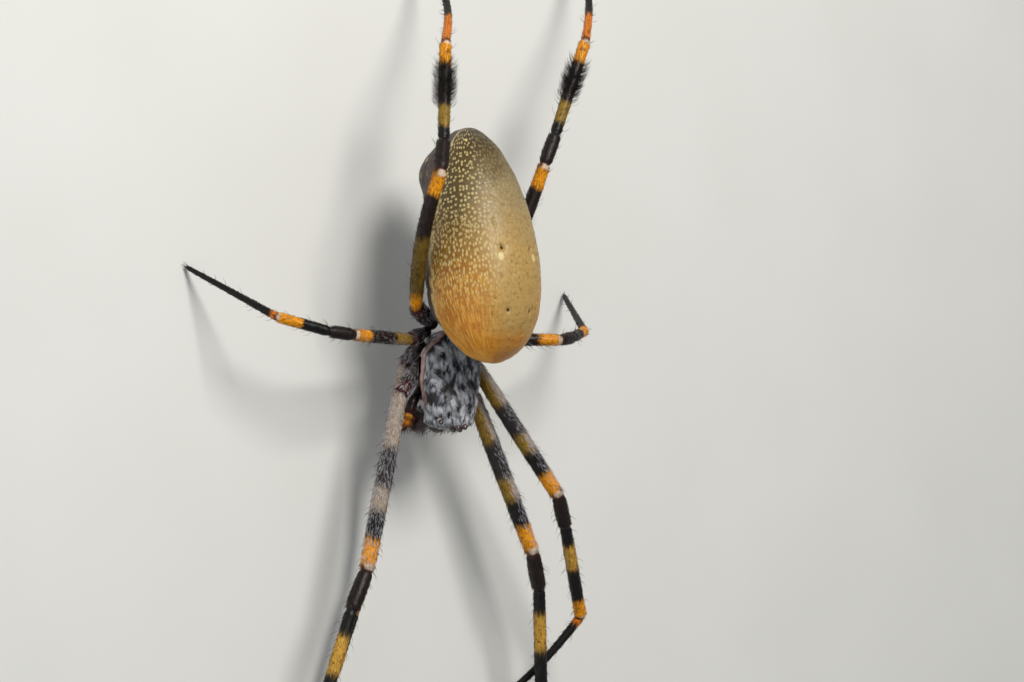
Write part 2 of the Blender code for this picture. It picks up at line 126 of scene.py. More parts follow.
BLACK = tint(12, 8, 7)
BROWN_BLACK = tint(32, 16, 11)
DARK_RED = tint(66, 12, 9)
ORANGE = tint(250, 166, 8)
DEEP_ORANGE = tint(234, 132, 6)
YELLOW = tint(214, 166, 64)
OLIVE_YELLOW = tint(154, 122, 34)
OLIVE = tint(116, 92, 24)
SMOKE = tint(44, 37, 38)
CONDYLE = tint(226, 206, 182)
BEIGE = tint(176, 160, 142)
SILVER = tint(206, 203, 208)


# Meshes

def make_piece(name, points, faces, material, replaces=(), attributes=None, unwrap=None):
    """Puts arrays of points and faces in the scene as one piece that rides on the body.

    faces is a list of arrays, each with faces of one count of corners. attributes are numbers
    or vectors per point, and unwrap is a place per point on the unwrap called OFBake."""
    points = np.asarray(points, float).reshape(-1, 3)
    corners = np.concatenate([np.asarray(f).ravel() for f in faces])
    counts = np.concatenate([np.full(len(f), np.asarray(f).shape[1]) for f in faces])
    mesh = bpy.data.meshes.new(name)
    mesh.vertices.add(len(points))
    mesh.vertices.foreach_set("co", (points * MM).astype(np.float32).ravel())
    mesh.loops.add(len(corners))
    mesh.loops.foreach_set("vertex_index", corners.astype(np.int32))
    mesh.polygons.add(len(counts))
    mesh.polygons.foreach_set("loop_start", (np.cumsum(counts) - counts).astype(np.int32))
    mesh.update(calc_edges=True)
    mesh.validate()
    mesh.shade_smooth()
    for key, values in (attributes or {}).items():
        values = np.asarray(values, np.float32)
        kind, field = ("FLOAT_VECTOR", "vector") if values.ndim == 2 else ("FLOAT", "value")
        layer = mesh.attributes.new(key, kind, "POINT")
        layer.data.foreach_set(field, values.ravel())
    if unwrap is not None:
        layer = mesh.uv_layers.new(name="OFBake")
        layer.data.foreach_set("uv", np.asarray(unwrap, np.float32)[corners].ravel())
    mesh.materials.append(material)
    piece = bpy.data.objects.new(name, mesh)
    bpy.context.scene.collection.objects.link(piece)
    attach(piece, "root")
    if replaces:
        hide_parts(*replaces)
    return piece


def unit(vectors):
    vectors = np.asarray(vectors, float)
    return vectors / np.maximum(np.linalg.norm(vectors, axis=-1, keepdims=True), 1e-12)


def grid_faces(rings, sides):
    """Four-cornered faces of a tube of rings, and the two fans that close its ends.

    The points are the rings in order, then the middle of the first and of the last ring."""
    row, column = np.meshgrid(np.arange(rings - 1), np.arange(sides), indexing="ij")
    after = (column + 1) % sides
    near, far = row * sides, (row + 1) * sides
    quads = np.stack((near + column, near + after, far + after, far + column), -1).reshape(-1, 4)
    k = np.arange(sides)
    after = (k + 1) % sides
    first = np.stack((np.full(sides, rings * sides), after, k), -1)
    last_ring = (rings - 1) * sides
    last = np.stack((np.full(sides, rings * sides + 1), last_ring + k, last_ring + after), -1)
    return [quads, np.concatenate((first, last))]


def closed_grid(grid):
    """Points of a grid of rings, with the middles of its end rings added."""
    return np.concatenate((grid.reshape(-1, 3), grid[:1].mean(1), grid[-1:].mean(1)))


def closed_values(values):
    """The same as closed_grid for numbers or vectors that go with the points."""
    values = np.asarray(values, float)
    flat = values.reshape((-1,) + values.shape[2:])
    return np.concatenate((flat, values[:1].mean(1), values[-1:].mean(1)))


def grid_piece(name, grid, material, replaces=(), masks=None):
    """A closed tube's grid of points as one piece, with masks on the same grid."""
    attributes = {key: closed_values(values) for key, values in (masks or {}).items()}
    return make_piece(name, closed_grid(grid), grid_faces(*grid.shape[:2]), material, replaces,
                      attributes)


def grid_normals(grid):
    """Outward directions of a closed tube's grid of points."""
    around = np.roll(grid, -1, axis=1) - np.roll(grid, 1, axis=1)
    lengthwise = np.gradient(grid, axis=0)
    normals = unit(np.cross(around, lengthwise))
    outward = grid - grid.mean(1, keepdims=True)
    if (normals * outward).sum() < 0:
        normals = -normals
    return normals


def smooth_noise(places, scale, seed):
    """Soft seeded noise from -1 to 1 at places in millimetres, as a sum of slanted waves."""
    draw = np.random.default_rng(seed)
    total = np.zeros(places.shape[:-1])
    waves = 14
    for _ in range(waves):
        direction = unit(draw.normal(size=3)) * draw.uniform(0.6, 1.6) * 2 * math.pi / scale
        total += np.sin(places @ direction + draw.uniform(0, 2 * math.pi))
    return total / math.sqrt(waves)


def travel_frames(path, guide):
    """Tangents along a path and, square to them, a side and an upper direction without twist."""
    tangents = unit(np.gradient(path, axis=0))
    uppers = np.empty_like(path)
    upper = np.asarray(guide, float)
    for i, tangent in enumerate(tangents):
        upper = upper - tangent * (upper @ tangent)
        upper = upper / np.linalg.norm(upper)
        uppers[i] = upper
    return tangents, np.cross(tangents, uppers), uppers


class Tube:
    """A round limb along a path: its grid of points, and places on its skin for hairs."""

    def __init__(self, path, radii, sides, guide=(0, 0, 1), squash=1.0):
        self.path = np.asarray(path, float)
        self.radii = np.asarray(radii, float)
        self.tangents, self.across, self.uppers = travel_frames(self.path, guide)
        self.sides = sides
        self.squash = squash
        angles = 2 * math.pi * np.arange(sides) / sides
        self.radial = (np.cos(angles)[None, :, None] * self.across[:, None]
                       + np.sin(angles)[None, :, None] * self.uppers[:, None] * squash)
        self.grid = self.path[:, None] + self.radial * self.radii[:, None, None]
        steps = np.linalg.norm(np.diff(self.path, axis=0), axis=1)
        self.reach = np.concatenate(([0], np.cumsum(steps)))

    def spots(self, count, draw, weight=None, start=0.0):
        """Seeded places on the skin: index along the path, angle, point, outward and lengthwise."""
        share = np.linspace(start, 1.0, 2000) * self.reach[-1]
        index = np.interp(share, self.reach, np.arange(len(self.reach)))
        chance = np.interp(index, np.arange(len(self.radii)), self.radii)
        if weight is not None:
            chance = chance * weight(index)
        total = np.cumsum(chance)
        index = np.interp(draw.uniform(0, total[-1], count), total, index)
        angle = draw.uniform(0, 2 * math.pi, count)
        return self.at(index, angle)

    def at(self, index, angle):
        low = np.clip(np.floor(index).astype(int), 0, len(self.path) - 2)
        part = (index - low)[:, None]

        def read(values):
            return values[low] * (1 - part) + values[low + 1] * part
        outward = (np.cos(angle)[:, None] * read(self.across)
                   + np.sin(angle)[:, None] * read(self.uppers) * self.squash)
        radius = read(self.radii[:, None])
        return index, angle, read(self.path) + outward * radius, unit(outward), unit(read(self.tangents))


HAIR_SINK = 0.04                     # of a hair's root below the skin


def hairs(roots, outward, lie, lengths, widths, stance, bend, draw):
    """Closed, tapered hairs that leave the skin at a stance and bend over towards its lie.

    Returns points, faces and the number of points in one hair. Angles are in radians."""
    count = len(roots)
    stance = np.broadcast_to(stance, count)[:, None]
    bend = np.broadcast_to(bend, count)[:, None]
    lie = unit(lie - outward * (lie * outward).sum(1, keepdims=True))
    first = np.cos(stance) * lie + np.sin(stance) * outward
    second = np.cos(stance - bend) * lie + np.sin(stance - bend) * outward
    lengths = np.broadcast_to(lengths, count)[:, None]
    base = roots - first * HAIR_SINK
    middle = roots + first * lengths * 0.5
    tip = middle + second * lengths * 0.5
    across = unit(np.cross(lie, outward))
    radius = np.broadcast_to(widths, count)[:, None] / 2
    turn = draw.uniform(0, 2 * math.pi, count)[:, None]
    rings = []
    for place, along, share in ((base, first, 1.0), (middle, second, 0.75)):
        other = np.cross(along, across)
        for k in range(3):
            angle = turn + 2 * math.pi * k / 3
            rings.append(place + radius * share * (np.cos(angle) * across + np.sin(angle) * other))
    rings.append(tip)
    points = np.stack(rings, 1).reshape(-1, 3)
    each = 7
    start = (np.arange(count) * each)[:, None, None]
    quads = start + np.array([[k, 3 + k, 3 + (k + 1) % 3, (k + 1) % 3] for k in range(3)])[None]
    tips = start + np.array([[3 + k, 6, 3 + (k + 1) % 3] for k in range(3)] + [[0, 1, 2]])[None]
    return points, [quads.reshape(-1, 4), tips.reshape(-1, 3)], each


PATCH = 0.003                        # size of one hair on the unwrap


def hair_unwrap(places, each):
    """Spreads each hair over a small patch at its root's place on the skin's unwrap."""
    offsets = PATCH * np.array([[0, 0], [0.5, 0], [1, 0], [0, 0.5], [0.5, 0.5], [1, 0.5], [0.5, 1]])
    places = np.clip(np.asarray(places), 0.0, 1.0 - PATCH)
    return (places[:, None] + offsets[None, :each]).reshape(-1, 2)


def make_coat(name, roots, outward, lie, lengths, widths, stance, bend, places, material, seed,
              attributes=None):
    """One joined mesh of hairs, with the root's attributes on every point of a hair."""
    draw = np.random.default_rng(seed)
    points, faces, each = hairs(roots, outward, lie, lengths, widths, stance, bend, draw)
    points[:, 2] = np.maximum(points[:, 2], 0.0)
    spread = {key: np.repeat(np.asarray(values), each, axis=0)
              for key, values in (attributes or {}).items()}
    return make_piece(name, points, faces, material, attributes=spread,
                      unwrap=hair_unwrap(places, each))


# Finishes

class Finish:
    """A Principled material, with one short call for each kind of node that it needs."""

    def __init__(self, name, **numbers):
        self.material = bpy.data.materials.new(name)
        self.material.use_nodes = True
        self.tree = self.material.node_tree
        self.shader = self.tree.nodes["Principled BSDF"]
        for socket, value in numbers.items():
            self.shader.inputs[socket.replace("_", " ")].default_value = value

    def put(self, socket, value):
        if isinstance(value, bpy.types.NodeSocket):
            self.tree.links.new(value, socket)
        else:
            socket.default_value = value

    def attribute(self, name, vector=False):
        node = self.tree.nodes.new("ShaderNodeAttribute")
        node.attribute_name = name
        return node.outputs["Vector" if vector else "Fac"]

    def place(self):
        """The point's place on the object, in millimetres."""
        node = self.tree.nodes.new("ShaderNodeTexCoord")
        return self.vector_math("SCALE", node.outputs["Object"], scale=1 / MM)

    def vector_math(self, operation, first, second=None, scale=None):
        node = self.tree.nodes.new("ShaderNodeVectorMath")
        node.operation = operation
        self.put(node.inputs[0], first)
        if second is not None:
            self.put(node.inputs[1], second)
        if scale is not None:
            self.put(node.inputs["Scale"], scale)
        return node.outputs["Vector"]

    def stretched(self, places, *factors):
        return self.vector_math("MULTIPLY", places, factors)

    def math(self, operation, first, second=0.0, third=0.0, clamp=False):
        node = self.tree.nodes.new("ShaderNodeMath")
        node.operation = operation
        node.use_clamp = clamp
        for socket, value in zip(node.inputs, (first, second, third)):
            self.put(socket, value)
        return node.outputs["Value"]

    def times(self, first, second):
        return self.math("MULTIPLY", first, second)

    def scaled(self, value, factor, added):
        return self.math("MULTIPLY_ADD", value, factor, added)

    def sway(self, mover, reach, value):
        """The value moved by a mover between 0 and 1, by half the reach each way."""
        return self.scaled(self.math("SUBTRACT", mover, 0.5), reach, value)

    def step(self, value, low, high):
        """0 below low and 1 above high, with a smooth rise between. low may be above high."""
        node = self.tree.nodes.new("ShaderNodeMapRange")
        node.interpolation_type = "SMOOTHSTEP"
        self.put(node.inputs["Value"], value)
        self.put(node.inputs["From Min"], min(low, high))
        self.put(node.inputs["From Max"], max(low, high))
        self.put(node.inputs["To Min"], 0.0 if low < high else 1.0)
        self.put(node.inputs["To Max"], 1.0 if low < high else 0.0)
        return node.outputs["Result"]

    def noise(self, scale, vector=None, detail=2.0, rough=0.5):
        node = self.tree.nodes.new("ShaderNodeTexNoise")
        self.put(node.inputs["Vector"], vector if vector is not None else self.place())
        node.inputs["Scale"].default_value = scale
        node.inputs["Detail"].default_value = detail
        node.inputs["Roughness"].default_value = rough
        return node.outputs["Fac"]

    def cells(self, scale, vector, randomness=1.0, dimensions="3D"):
        node = self.tree.nodes.new("ShaderNodeTexVoronoi")
        node.voronoi_dimensions = dimensions
        self.put(node.inputs["Vector"], vector)
        node.inputs["Scale"].default_value = scale
        node.inputs["Randomness"].default_value = randomness
        return node.outputs["Distance"]

    def ramp(self, value, stops, interpolation="LINEAR"):
        node = self.tree.nodes.new("ShaderNodeValToRGB")
        node.color_ramp.interpolation = interpolation
        elements = node.color_ramp.elements
        while len(elements) > 1:
            elements.remove(elements[-1])
        elements[0].position, elements[0].color = stops[0]
        for position, colour in stops[1:]:
            elements.new(position).color = colour
        self.put(node.inputs["Fac"], value)
        return node.outputs["Color"]

    def mix(self, share, first, second, blend="MIX"):
        node = self.tree.nodes.new("ShaderNodeMix")
        node.data_type = "RGBA"
        node.blend_type = blend
        node.clamp_factor = True
        sockets = [s for s in node.inputs if s.enabled]
        for socket, value in zip(sockets, (share, first, second)):
            self.put(socket, value)
        return [s for s in node.outputs if s.enabled][0]

    def shade(self, share, colour, red, green, blue):
        """The colour dimmed by a factor for each of its parts, where the share is 1."""
        return self.mix(share, colour, (red, green, blue, 1.0), "MULTIPLY")

    def bump(self, height, distance, strength):
        node = self.tree.nodes.new("ShaderNodeBump")
        node.inputs["Strength"].default_value = strength
        node.inputs["Distance"].default_value = distance * MM
        self.put(node.inputs["Height"], height)
        return node.outputs["Normal"]

    def set(self, **sockets):
        for socket, value in sockets.items():
            self.put(self.shader.inputs[socket.replace("_", " ")], value)
        return self.material


# Places on the body

def swell(full, start, end, peak=0.45):
    """A limb's radius along its length: narrow at the joints, full between them."""
    def radius_at(t):
        side = np.where(t < peak, start, end)
        away = np.abs(t - peak) / np.where(t < peak, peak, 1 - peak)
        return full * (1 - (1 - side) * away ** 2.6)
    return radius_at


def aim(side, bearing, rise):
    """Unit vector for a bearing forwards from straight out, on the right or left side."""
    outward = -1 if side == "R" else 1
    bearing = math.radians(bearing)
    rise = math.radians(rise)
    return Vector((
        outward * math.cos(bearing) * math.cos(rise),
        -math.sin(bearing) * math.cos(rise),
        math.sin(rise),
    ))


def turned(points, matrix):
    """Points as arrays, moved by a 4 by 4 matrix."""
    matrix = np.array(matrix)
    return np.asarray(points, float) @ matrix[:3, :3].T + matrix[:3, 3]


PROSOMA_FRAME = Matrix.Translation(BODY_CENTRE) @ Matrix.Rotation(PROSOMA_PITCH, 4, "X")
ABDOMEN_FRAME = (Matrix.Translation(BODY_CENTRE + ABDOMEN_FRONT)
                 @ Matrix.Rotation(-ABDOMEN_TURN, 4, "Z") @ Matrix.Rotation(-ABDOMEN_SLOPE, 4, "X"))


def on_prosoma(outward, forward, up):
    return PROSOMA_FRAME @ Vector((outward, -forward, up))


def prosoma_places(places):
    """Array of outward, forward and up places, turned into the model's frame."""
    places = np.asarray(places, float)
    return turned(places * (1, -1, 1), PROSOMA_FRAME)


def prosoma_ways(ways):
    """Array of outward, forward and up directions, turned into the model's frame."""
    return (np.asarray(ways) * (1, -1, 1)) @ np.array(PROSOMA_FRAME)[:3, :3].T


def leg_joints(leg):
    side = leg[0]
    pair = int(leg[1])
    outward, forward, up = LEG_ROOTS[pair]
    joints = [on_prosoma(outward if side == "L" else -outward, forward, up)]
    lengths = LEG_LENGTHS[pair]
    for length, (bearing, rise) in zip(lengths, POSE[leg][:4]):
        joints.append(joints[-1] + aim(side, bearing, rise) * length)
    drop = joints[-1].z - FOOT_HEIGHT
    fall = -math.degrees(math.asin(drop / (lengths[4] + lengths[5])))
    foot = aim(side, POSE[leg][4], fall)
    for length in lengths[4:]:
        joints.append(joints[-1] + foot * length)
    return joints


def soften(values, reach):
    """Rounds off the corners of evenly spaced values over a few steps to each side."""
    weights = np.hanning(2 * reach + 3)[1:-1]
    weights /= weights.sum()
    padded = np.concatenate((np.repeat(values[:1], reach, 0), values, np.repeat(values[-1:], reach, 0)))
    if values.ndim == 1:
        return np.convolve(padded, weights, "valid")
    return np.stack([np.convolve(column, weights, "valid") for column in padded.T], -1)


# Legs

PATH_STEP = 0.13                     # between the rings of a leg's skin
LEG_SIDES = 22
ROOT_DEPTH = 0.9                     # of a leg's root inside the prosoma
SKIN_INSET = 0.97                    # the coat's depth is left between skin and solids
TROCHANTER = 0.62                    # along the first segment, where the trochanter begins


def leg_path(leg):
    """Even steps along a leg's axis, and the place along it: from 0 to 6, one for each segment."""
    joints = leg_joints(leg)
    inwards = (joints[0] - joints[1]).normalized()
    points = [joints[0] + inwards * ROOT_DEPTH]
    alongs = [-ROOT_DEPTH / (joints[1] - joints[0]).length]
    steps = 80
    for i, segment in enumerate(SEGMENTS):
        bow = BOWS.get(f"{segment}_{leg}", Vector())
        for k in range(steps if i < 5 else steps + 1):
            t = k / steps
            points.append(joints[i].lerp(joints[i + 1], t) + bow * math.sin(math.pi * t))
            alongs.append(i + t)
    points = np.array(points)
    reach = np.concatenate(([0], np.cumsum(np.linalg.norm(np.diff(points, axis=0), axis=1))))
    even = np.linspace(0, reach[-1], int(reach[-1] / PATH_STEP))
    path = np.stack([np.interp(even, reach, column) for column in points.T], -1)
    path[1:-1] = soften(path, 4)[1:-1]
    return path, np.interp(even, reach, alongs)


def leg_radii(pair, along):
    """Radius at each place along a leg, with its joints' necks and lips."""
    full = LEG_RADII[pair]
    forms = (swell(full[0], 0.78, 0.86, 0.5), swell(full[1], 0.82, 0.86, 0.4),
             swell(full[2] * 1.04, 0.8, 0.8, 0.55), swell(full[3], 0.9, 1.0, 0.35),
             lambda t: full[4] + (full[5] - full[4]) * t, lambda t: full[5] * (1 - 0.14 * t))
    radii = np.zeros(len(along))
    for i, form in enumerate(forms):
        here = (along >= i) & (along <= i + 1) if i else along <= 1
        radii[here] = form(np.clip(along[here] - i, 0, 1))
    radii = soften(radii, 3) * SKIN_INSET
    necks = [(0, TROCHANTER, 0.2)] + [(i, 1.0, 0.17) for i in range(4)] + [(4, 1.0, 0.06)]
    for segment, share, depth in necks:
        away = np.abs(along - segment - share) * LEG_LENGTHS[pair][segment]
        beyond = along > segment + share
        if share == 1.0:
            away[beyond] = (along[beyond] - segment - 1) * LEG_LENGTHS[pair][segment + 1]
        radii *= 1 - depth * np.exp(-(away / 0.2) ** 2) + 0.05 * np.exp(-((away - 0.55) / 0.25) ** 2)
    return radii


def band_stops(marks, softness=0.0035):
    """Ramp stops for bands, each up to its place along the leg, with soft edges."""
    stops = []
    start = 0.0
    for end, colour in marks:
        end = end / len(SEGMENTS)
        edge = min(softness, (end - start) / 3)
        stops.append((min(start + edge, 1.0), colour))
        stops.append((min(end - edge, 1.0), colour))
        start = end
    return stops


LONG_LEG = (
    (0.62, BROWN_BLACK), (1.0, DARK_RED), (1.30, OLIVE_YELLOW), (1.53, SMOKE), (1.66, OLIVE_YELLOW),
    (1.83, BLACK), (1.97, ORANGE), (2.03, DARK_RED), (2.97, BROWN_BLACK), (3.18, BLACK),
    (3.45, YELLOW), (3.80, BLACK), (3.985, ORANGE), (4.015, DARK_RED), (4.05, DEEP_ORANGE), (6.0, BLACK),
)
THIRD_LEG = (
    (0.62, BROWN_BLACK), (1.0, DARK_RED), (1.31, OLIVE_YELLOW), (1.75, BROWN_BLACK), (1.965, ORANGE),
    (2.03, DARK_RED), (2.97, BROWN_BLACK), (3.54, BLACK), (3.985, ORANGE), (4.02, DARK_RED),
    (4.07, DEEP_ORANGE), (6.0, BLACK),
)
HIND_LEG = (
    (0.62, BROWN_BLACK), (1.0, DARK_RED), (1.10, ORANGE), (1.52, OLIVE), (1.83, BROWN_BLACK),
    (1.97, ORANGE), (2.03, DARK_RED), (2.97, BROWN_BLACK), (3.12, BLACK), (3.33, OLIVE_YELLOW),
    (3.77, BROWN_BLACK), (3.985, ORANGE), (4.015, DARK_RED), (4.30, DEEP_ORANGE), (6.0, BLACK),
)
BANDS = {1: LONG_LEG, 2: LONG_LEG, 3: THIRD_LEG, 4: HIND_LEG}
# Colours of the same bands where the femur's outer and upper side is grey with hair
OUTER = {OLIVE_YELLOW: BEIGE}


def outer_marks(pair):
    """The bands of a front leg where its femur is grey with hair."""
    return tuple((end, OUTER.get(colour, colour) if 1 < end < 1.9 else colour)
                 for end, colour in BANDS[pair])


def leg_colour(finish, pair):
    """The bands' colour, the same on skin and hair: attributes along, outer and skin drive it."""
    ragged = finish.noise(1.0, finish.stretched(finish.attribute("skin", True), 5, 5, 1.2))
    along = finish.sway(ragged, 0.10, finish.attribute("along"))
    place = finish.math("DIVIDE", along, float(len(SEGMENTS)))
    inner = finish.ramp(place, band_stops(BANDS[pair]))
    if pair > 2:
        return inner
    outer = finish.ramp(place, band_stops(outer_marks(pair)))
    facing = finish.sway(ragged, 0.5, finish.attribute("outer"))
    return finish.mix(finish.step(facing, -0.05, 0.35), inner, outer)


def leg_skin_finish(pair):
    """Banded cuticle with lengthwise strands, dark bristle bases, pale knobs at two joints and painted shade
    on its underside.
    """
    finish = Finish(f"leg_cuticle_{pair}", Specular_IOR_Level=0.32)
    skin = finish.attribute("skin", True)
    colour = leg_colour(finish, pair)
    strands = finish.noise(1.0, finish.stretched(skin, 26, 26, 3.2), detail=3.0)
    blotches = finish.noise(1.4, skin, detail=3.0)
    colour = finish.shade(finish.step(strands, 0.62, 0.36), colour, 0.45, 0.38, 0.33)
    colour = finish.shade(finish.step(blotches, 0.62, 0.75), colour, 0.35, 0.28, 0.25)
    # Painted shade: the leg's down-facing side is darkened, where the light from above does not fall
    below = finish.step(finish.attribute("lower"), 0.2, 1.0)
    colour = finish.shade(below, colour, 0.55, 0.5, 0.48)
    specks = finish.step(finish.cells(2.6, skin), 0.17, 0.09)
    colour = finish.mix(finish.times(specks, 0.75), colour, BROWN_BLACK)
    along = finish.attribute("along")
    for joint in (2, 4):
        knob = finish.times(finish.step(along, joint - 0.045, joint - 0.025),
                            finish.step(along, joint + 0.01, joint - 0.01))
        knob = finish.times(knob, finish.step(finish.attribute("lower"), -0.25, -0.7))
        colour = finish.mix(finish.times(knob, 0.7), colour, CONDYLE)
    pores = finish.cells(7.0, skin)
    height = finish.scaled(strands, 0.7, finish.step(pores, 0.0, 0.25))
    return finish.set(Base_Color=colour, Normal=finish.bump(height, 0.03, 0.55),
                      Roughness=finish.scaled(strands, 0.25, 0.3))


def leg_hair_finish(pair):
    """The bands again, towards black or silver by each hair's tone."""
    finish = Finish(f"leg_hair_{pair}", Roughness=0.5, Specular_IOR_Level=0.28)
    colour = leg_colour(finish, pair)
    tone = finish.attribute("tone")
    dark = finish.mix(0.85, colour, BLACK)
    silver = finish.mix(0.75, colour, SILVER)
    colour = finish.mix(finish.step(tone, 0.2, 0.4), dark, colour)
    return finish.set(Base_Color=finish.mix(finish.step(tone, 0.6, 0.8), colour, silver))


def facing_values(leg, radial):
    """How far each outward direction faces the leg's silver side, and how far it faces down."""
    away = Vector((-1 if leg[0] == "R" else 1, 0, 0))
    silver_side = np.array((away * math.cos(math.radians(28)) + Vector((0, 0, math.sin(math.radians(28))))))
    return radial @ silver_side, -radial[..., 2]


def make_leg(leg, finishes):
    """One unbroken skin over all of a leg's solids, and its hair."""
    pair = int(leg[1])
    path, along = leg_path(leg)
    radii = leg_radii(pair, along)
    radii[-4:] *= (0.97, 0.86, 0.62, 0.2)
    tube = Tube(path, radii, LEG_SIDES)
    tube.grid[..., 2] = np.maximum(tube.grid[..., 2], 0.0)
    radial = unit(tube.radial)
    outer, lower = facing_values(leg, radial)
    angles = 2 * math.pi * np.arange(LEG_SIDES) / LEG_SIDES
    skin_place = np.stack((
        np.cos(angles)[None] * radii[:, None],
        np.sin(angles)[None] * radii[:, None],
        np.repeat(tube.reach[:, None], LEG_SIDES, 1)), -1)
    masks = {"along": np.repeat(along[:, None], LEG_SIDES, 1), "outer": outer, "lower": lower,
             "skin": skin_place}
    grid_piece(f"leg_{leg}", tube.grid, finishes["skin", pair],
               [f"{segment}_{leg}" for segment in SEGMENTS], masks)
    make_leg_coat(leg, pair, tube, along, finishes)


def coat_values(leg, spots, tube, along, tone):
    """Attributes and unwrap places of hairs at spots on a leg."""
    index, angle, _, outward, _ = spots
    steps = np.arange(len(along))
    here = np.interp(index, steps, along)
    outer, lower = facing_values(leg, outward)
    radius = np.interp(index, steps, tube.radii)
    reach = np.interp(index, steps, tube.reach)
    skin = np.stack((np.cos(angle) * radius, np.sin(angle) * radius, reach), -1)
    values = {"along": here, "outer": outer, "lower": lower, "skin": skin, "tone": tone(here, outer, lower)}
    places = np.stack((np.clip(here / len(SEGMENTS), 0, 1), (angle / (2 * math.pi)) % 1.0), -1)
    return values, places, here


FUZZ_PER_LEG = {1: 7600, 2: 6800, 3: 3600, 4: 5600}
BRISTLES_PER_LEG = {1: 190, 2: 170, 3: 90, 4: 150}
BRUSH_HAIRS = 950


def make_leg_coat(leg, pair, tube, along, finishes):
    """Short fuzz lying along the leg, single bristles, and on a hind tibia the brush."""
    draw = np.random.default_rng(100 * pair + (leg[0] == "L"))
    start = np.searchsorted(along, 0.0) / len(along)

    def fuzz_tone(here, outer, lower):
        grey = (outer > draw.uniform(-0.35, 0.35, len(outer))) & (here > 0.95) & (here < 1.98)
        grey = grey & (pair <= 3) & (draw.uniform(0, 1, len(outer)) < (0.85 if pair < 3 else 0.4))
        coxal = (here < 0.9) & (lower < 0.3)
        plain = draw.uniform(0, 1, len(outer)) < 0.45
        return np.where(grey | coxal, 1.0, np.where(plain, 0.5, 0.0))

    spots = tube.spots(FUZZ_PER_LEG[pair], draw, start=start)
    values, places, here = coat_values(leg, spots, tube, along, fuzz_tone)
    count = len(here)
    lengths = np.where(values["tone"] > 0.9, 0.48, 0.36) * draw.uniform(0.65, 1.25, count)
    lengths *= np.interp(here, (0, 1, 4, 6), (1.0, 1.0, 0.9, 0.7))
    make_coat(f"fuzz_{leg}", spots[2], spots[3], spots[4] + draw.normal(0, 0.12, (count, 3)), lengths,
              np.where(values["tone"] > 0.9, 0.042, 0.03), draw.uniform(0.2, 0.55, count), 0.3,
              places, finishes["hair", pair], 7, values)

    spots = tube.spots(BRISTLES_PER_LEG[pair], draw, start=start)
    values, places, here = coat_values(leg, spots, tube, along, lambda h, o, l: np.zeros(len(h)))
    count = len(here)
    lengths = np.interp(here, (0, 1, 3.5, 5, 6), (0.7, 1.0, 1.25, 0.9, 0.5)) * draw.uniform(0.6, 1.2, count)
    make_coat(f"bristles_{leg}", spots[2], spots[3], spots[4] + draw.normal(0, 0.1, (count, 3)), lengths,
              0.05, draw.uniform(0.65, 1.0, count), 0.35, places, finishes["hair", pair], 8, values)

    if pair == 4:
        steps = np.arange(len(along))

        def in_brush(index):
            share = np.interp(index, steps, along) - 3
            rise = np.clip((share - BRUSH_FROM + 0.06) / 0.16, 0, 1)
            fall = np.clip((BRUSH_TO + 0.02 - share) / 0.2, 0, 1)
            return rise * fall
        spots = tube.spots(BRUSH_HAIRS, draw, weight=in_brush)
        values, places, here = coat_values(leg, spots, tube, along, lambda h, o, l: np.zeros(len(h)))
        count = len(here)
        make_coat(f"brush_{leg}", spots[2], spots[3], spots[4] + draw.normal(0, 0.1, (count, 3)),
                  1.35 * draw.uniform(0.6, 1.12, count), 0.036, draw.uniform(0.8, 1.15, count), 0.5,
                  places, finishes["hair", pair], 9, values)


def make_claws(leg, finish):
    """Two curved claws and a small middle one at the tip, resting just above the floor."""
    joints = leg_joints(leg)
    ahead = joints[6] - joints[5]
    ahead.z = 0
    ahead.normalize()
    aside = Vector((-ahead.y, ahead.x, 0))
    points, faces, first = [], [], 0
    for across, length, radius in ((-0.14, 0.62, 0.06), (0.14, 0.62, 0.06), (0.0, 0.4, 0.05)):
        turns = 8
        path, radii = [], []
        for k in range(turns):
            t = k / (turns - 1)
            height = 0.26 - 0.2 * t ** 1.6 + 0.1 * math.sin(math.pi * t)
            place = joints[6] + ahead * (length * t - 0.1) + aside * across * (1 + 0.5 * t)
            path.append((place.x, place.y, height))
            radii.append(radius * (1 - 0.8 * t))
        tube = Tube(path, radii, 8)
        points.append(closed_grid(tube.grid))
        faces.append([f + first for f in grid_faces(turns, 8)])
        first += len(points[-1])
    make_piece(f"claws_{leg}", np.concatenate(points), [f for group in faces for f in group], finish)


# Abdomen

def superellipse(share, power):
    """Height of a unit superellipse at a share of its half-length from the middle."""
    return np.maximum(0.0, 1 - np.abs(share) ** power) ** (1 / power)


def abdomen_places(along, around):
    """Places on the abdomen's surface in its own frame: left, tailwards and up from its front end."""
    along, around = np.broadcast_arrays(np.asarray(along, float), np.asarray(around, float))
    fullness = np.where(along < WIDEST_PLACE,
                        superellipse((WIDEST_PLACE - along) / WIDEST_PLACE, 2.2),
                        superellipse((along - WIDEST_PLACE) / (1 - WIDEST_PLACE), 1.9))
    below = np.maximum(0.0, -np.sin(around))
    hollow = 1 - 0.42 * np.exp(-(along / 0.2) ** 2) * below
    swelling = SPINNING_FIELD * np.exp(-((along - 0.86) / 0.11) ** 2) * below
    swelling = swelling + BOOK_LUNGS * np.exp(-((along - 0.26) / 0.07) ** 2) * below ** 2
    return np.stack((
        (ABDOMEN_HALF_WIDTH * fullness + swelling) * np.cos(around),
        ABDOMEN_LENGTH * along,
        (ABDOMEN_HALF_HEIGHT * fullness * hollow + swelling) * np.sin(around)), -1)


BACK = math.pi / 2                   # angle round the abdomen of the middle of its back
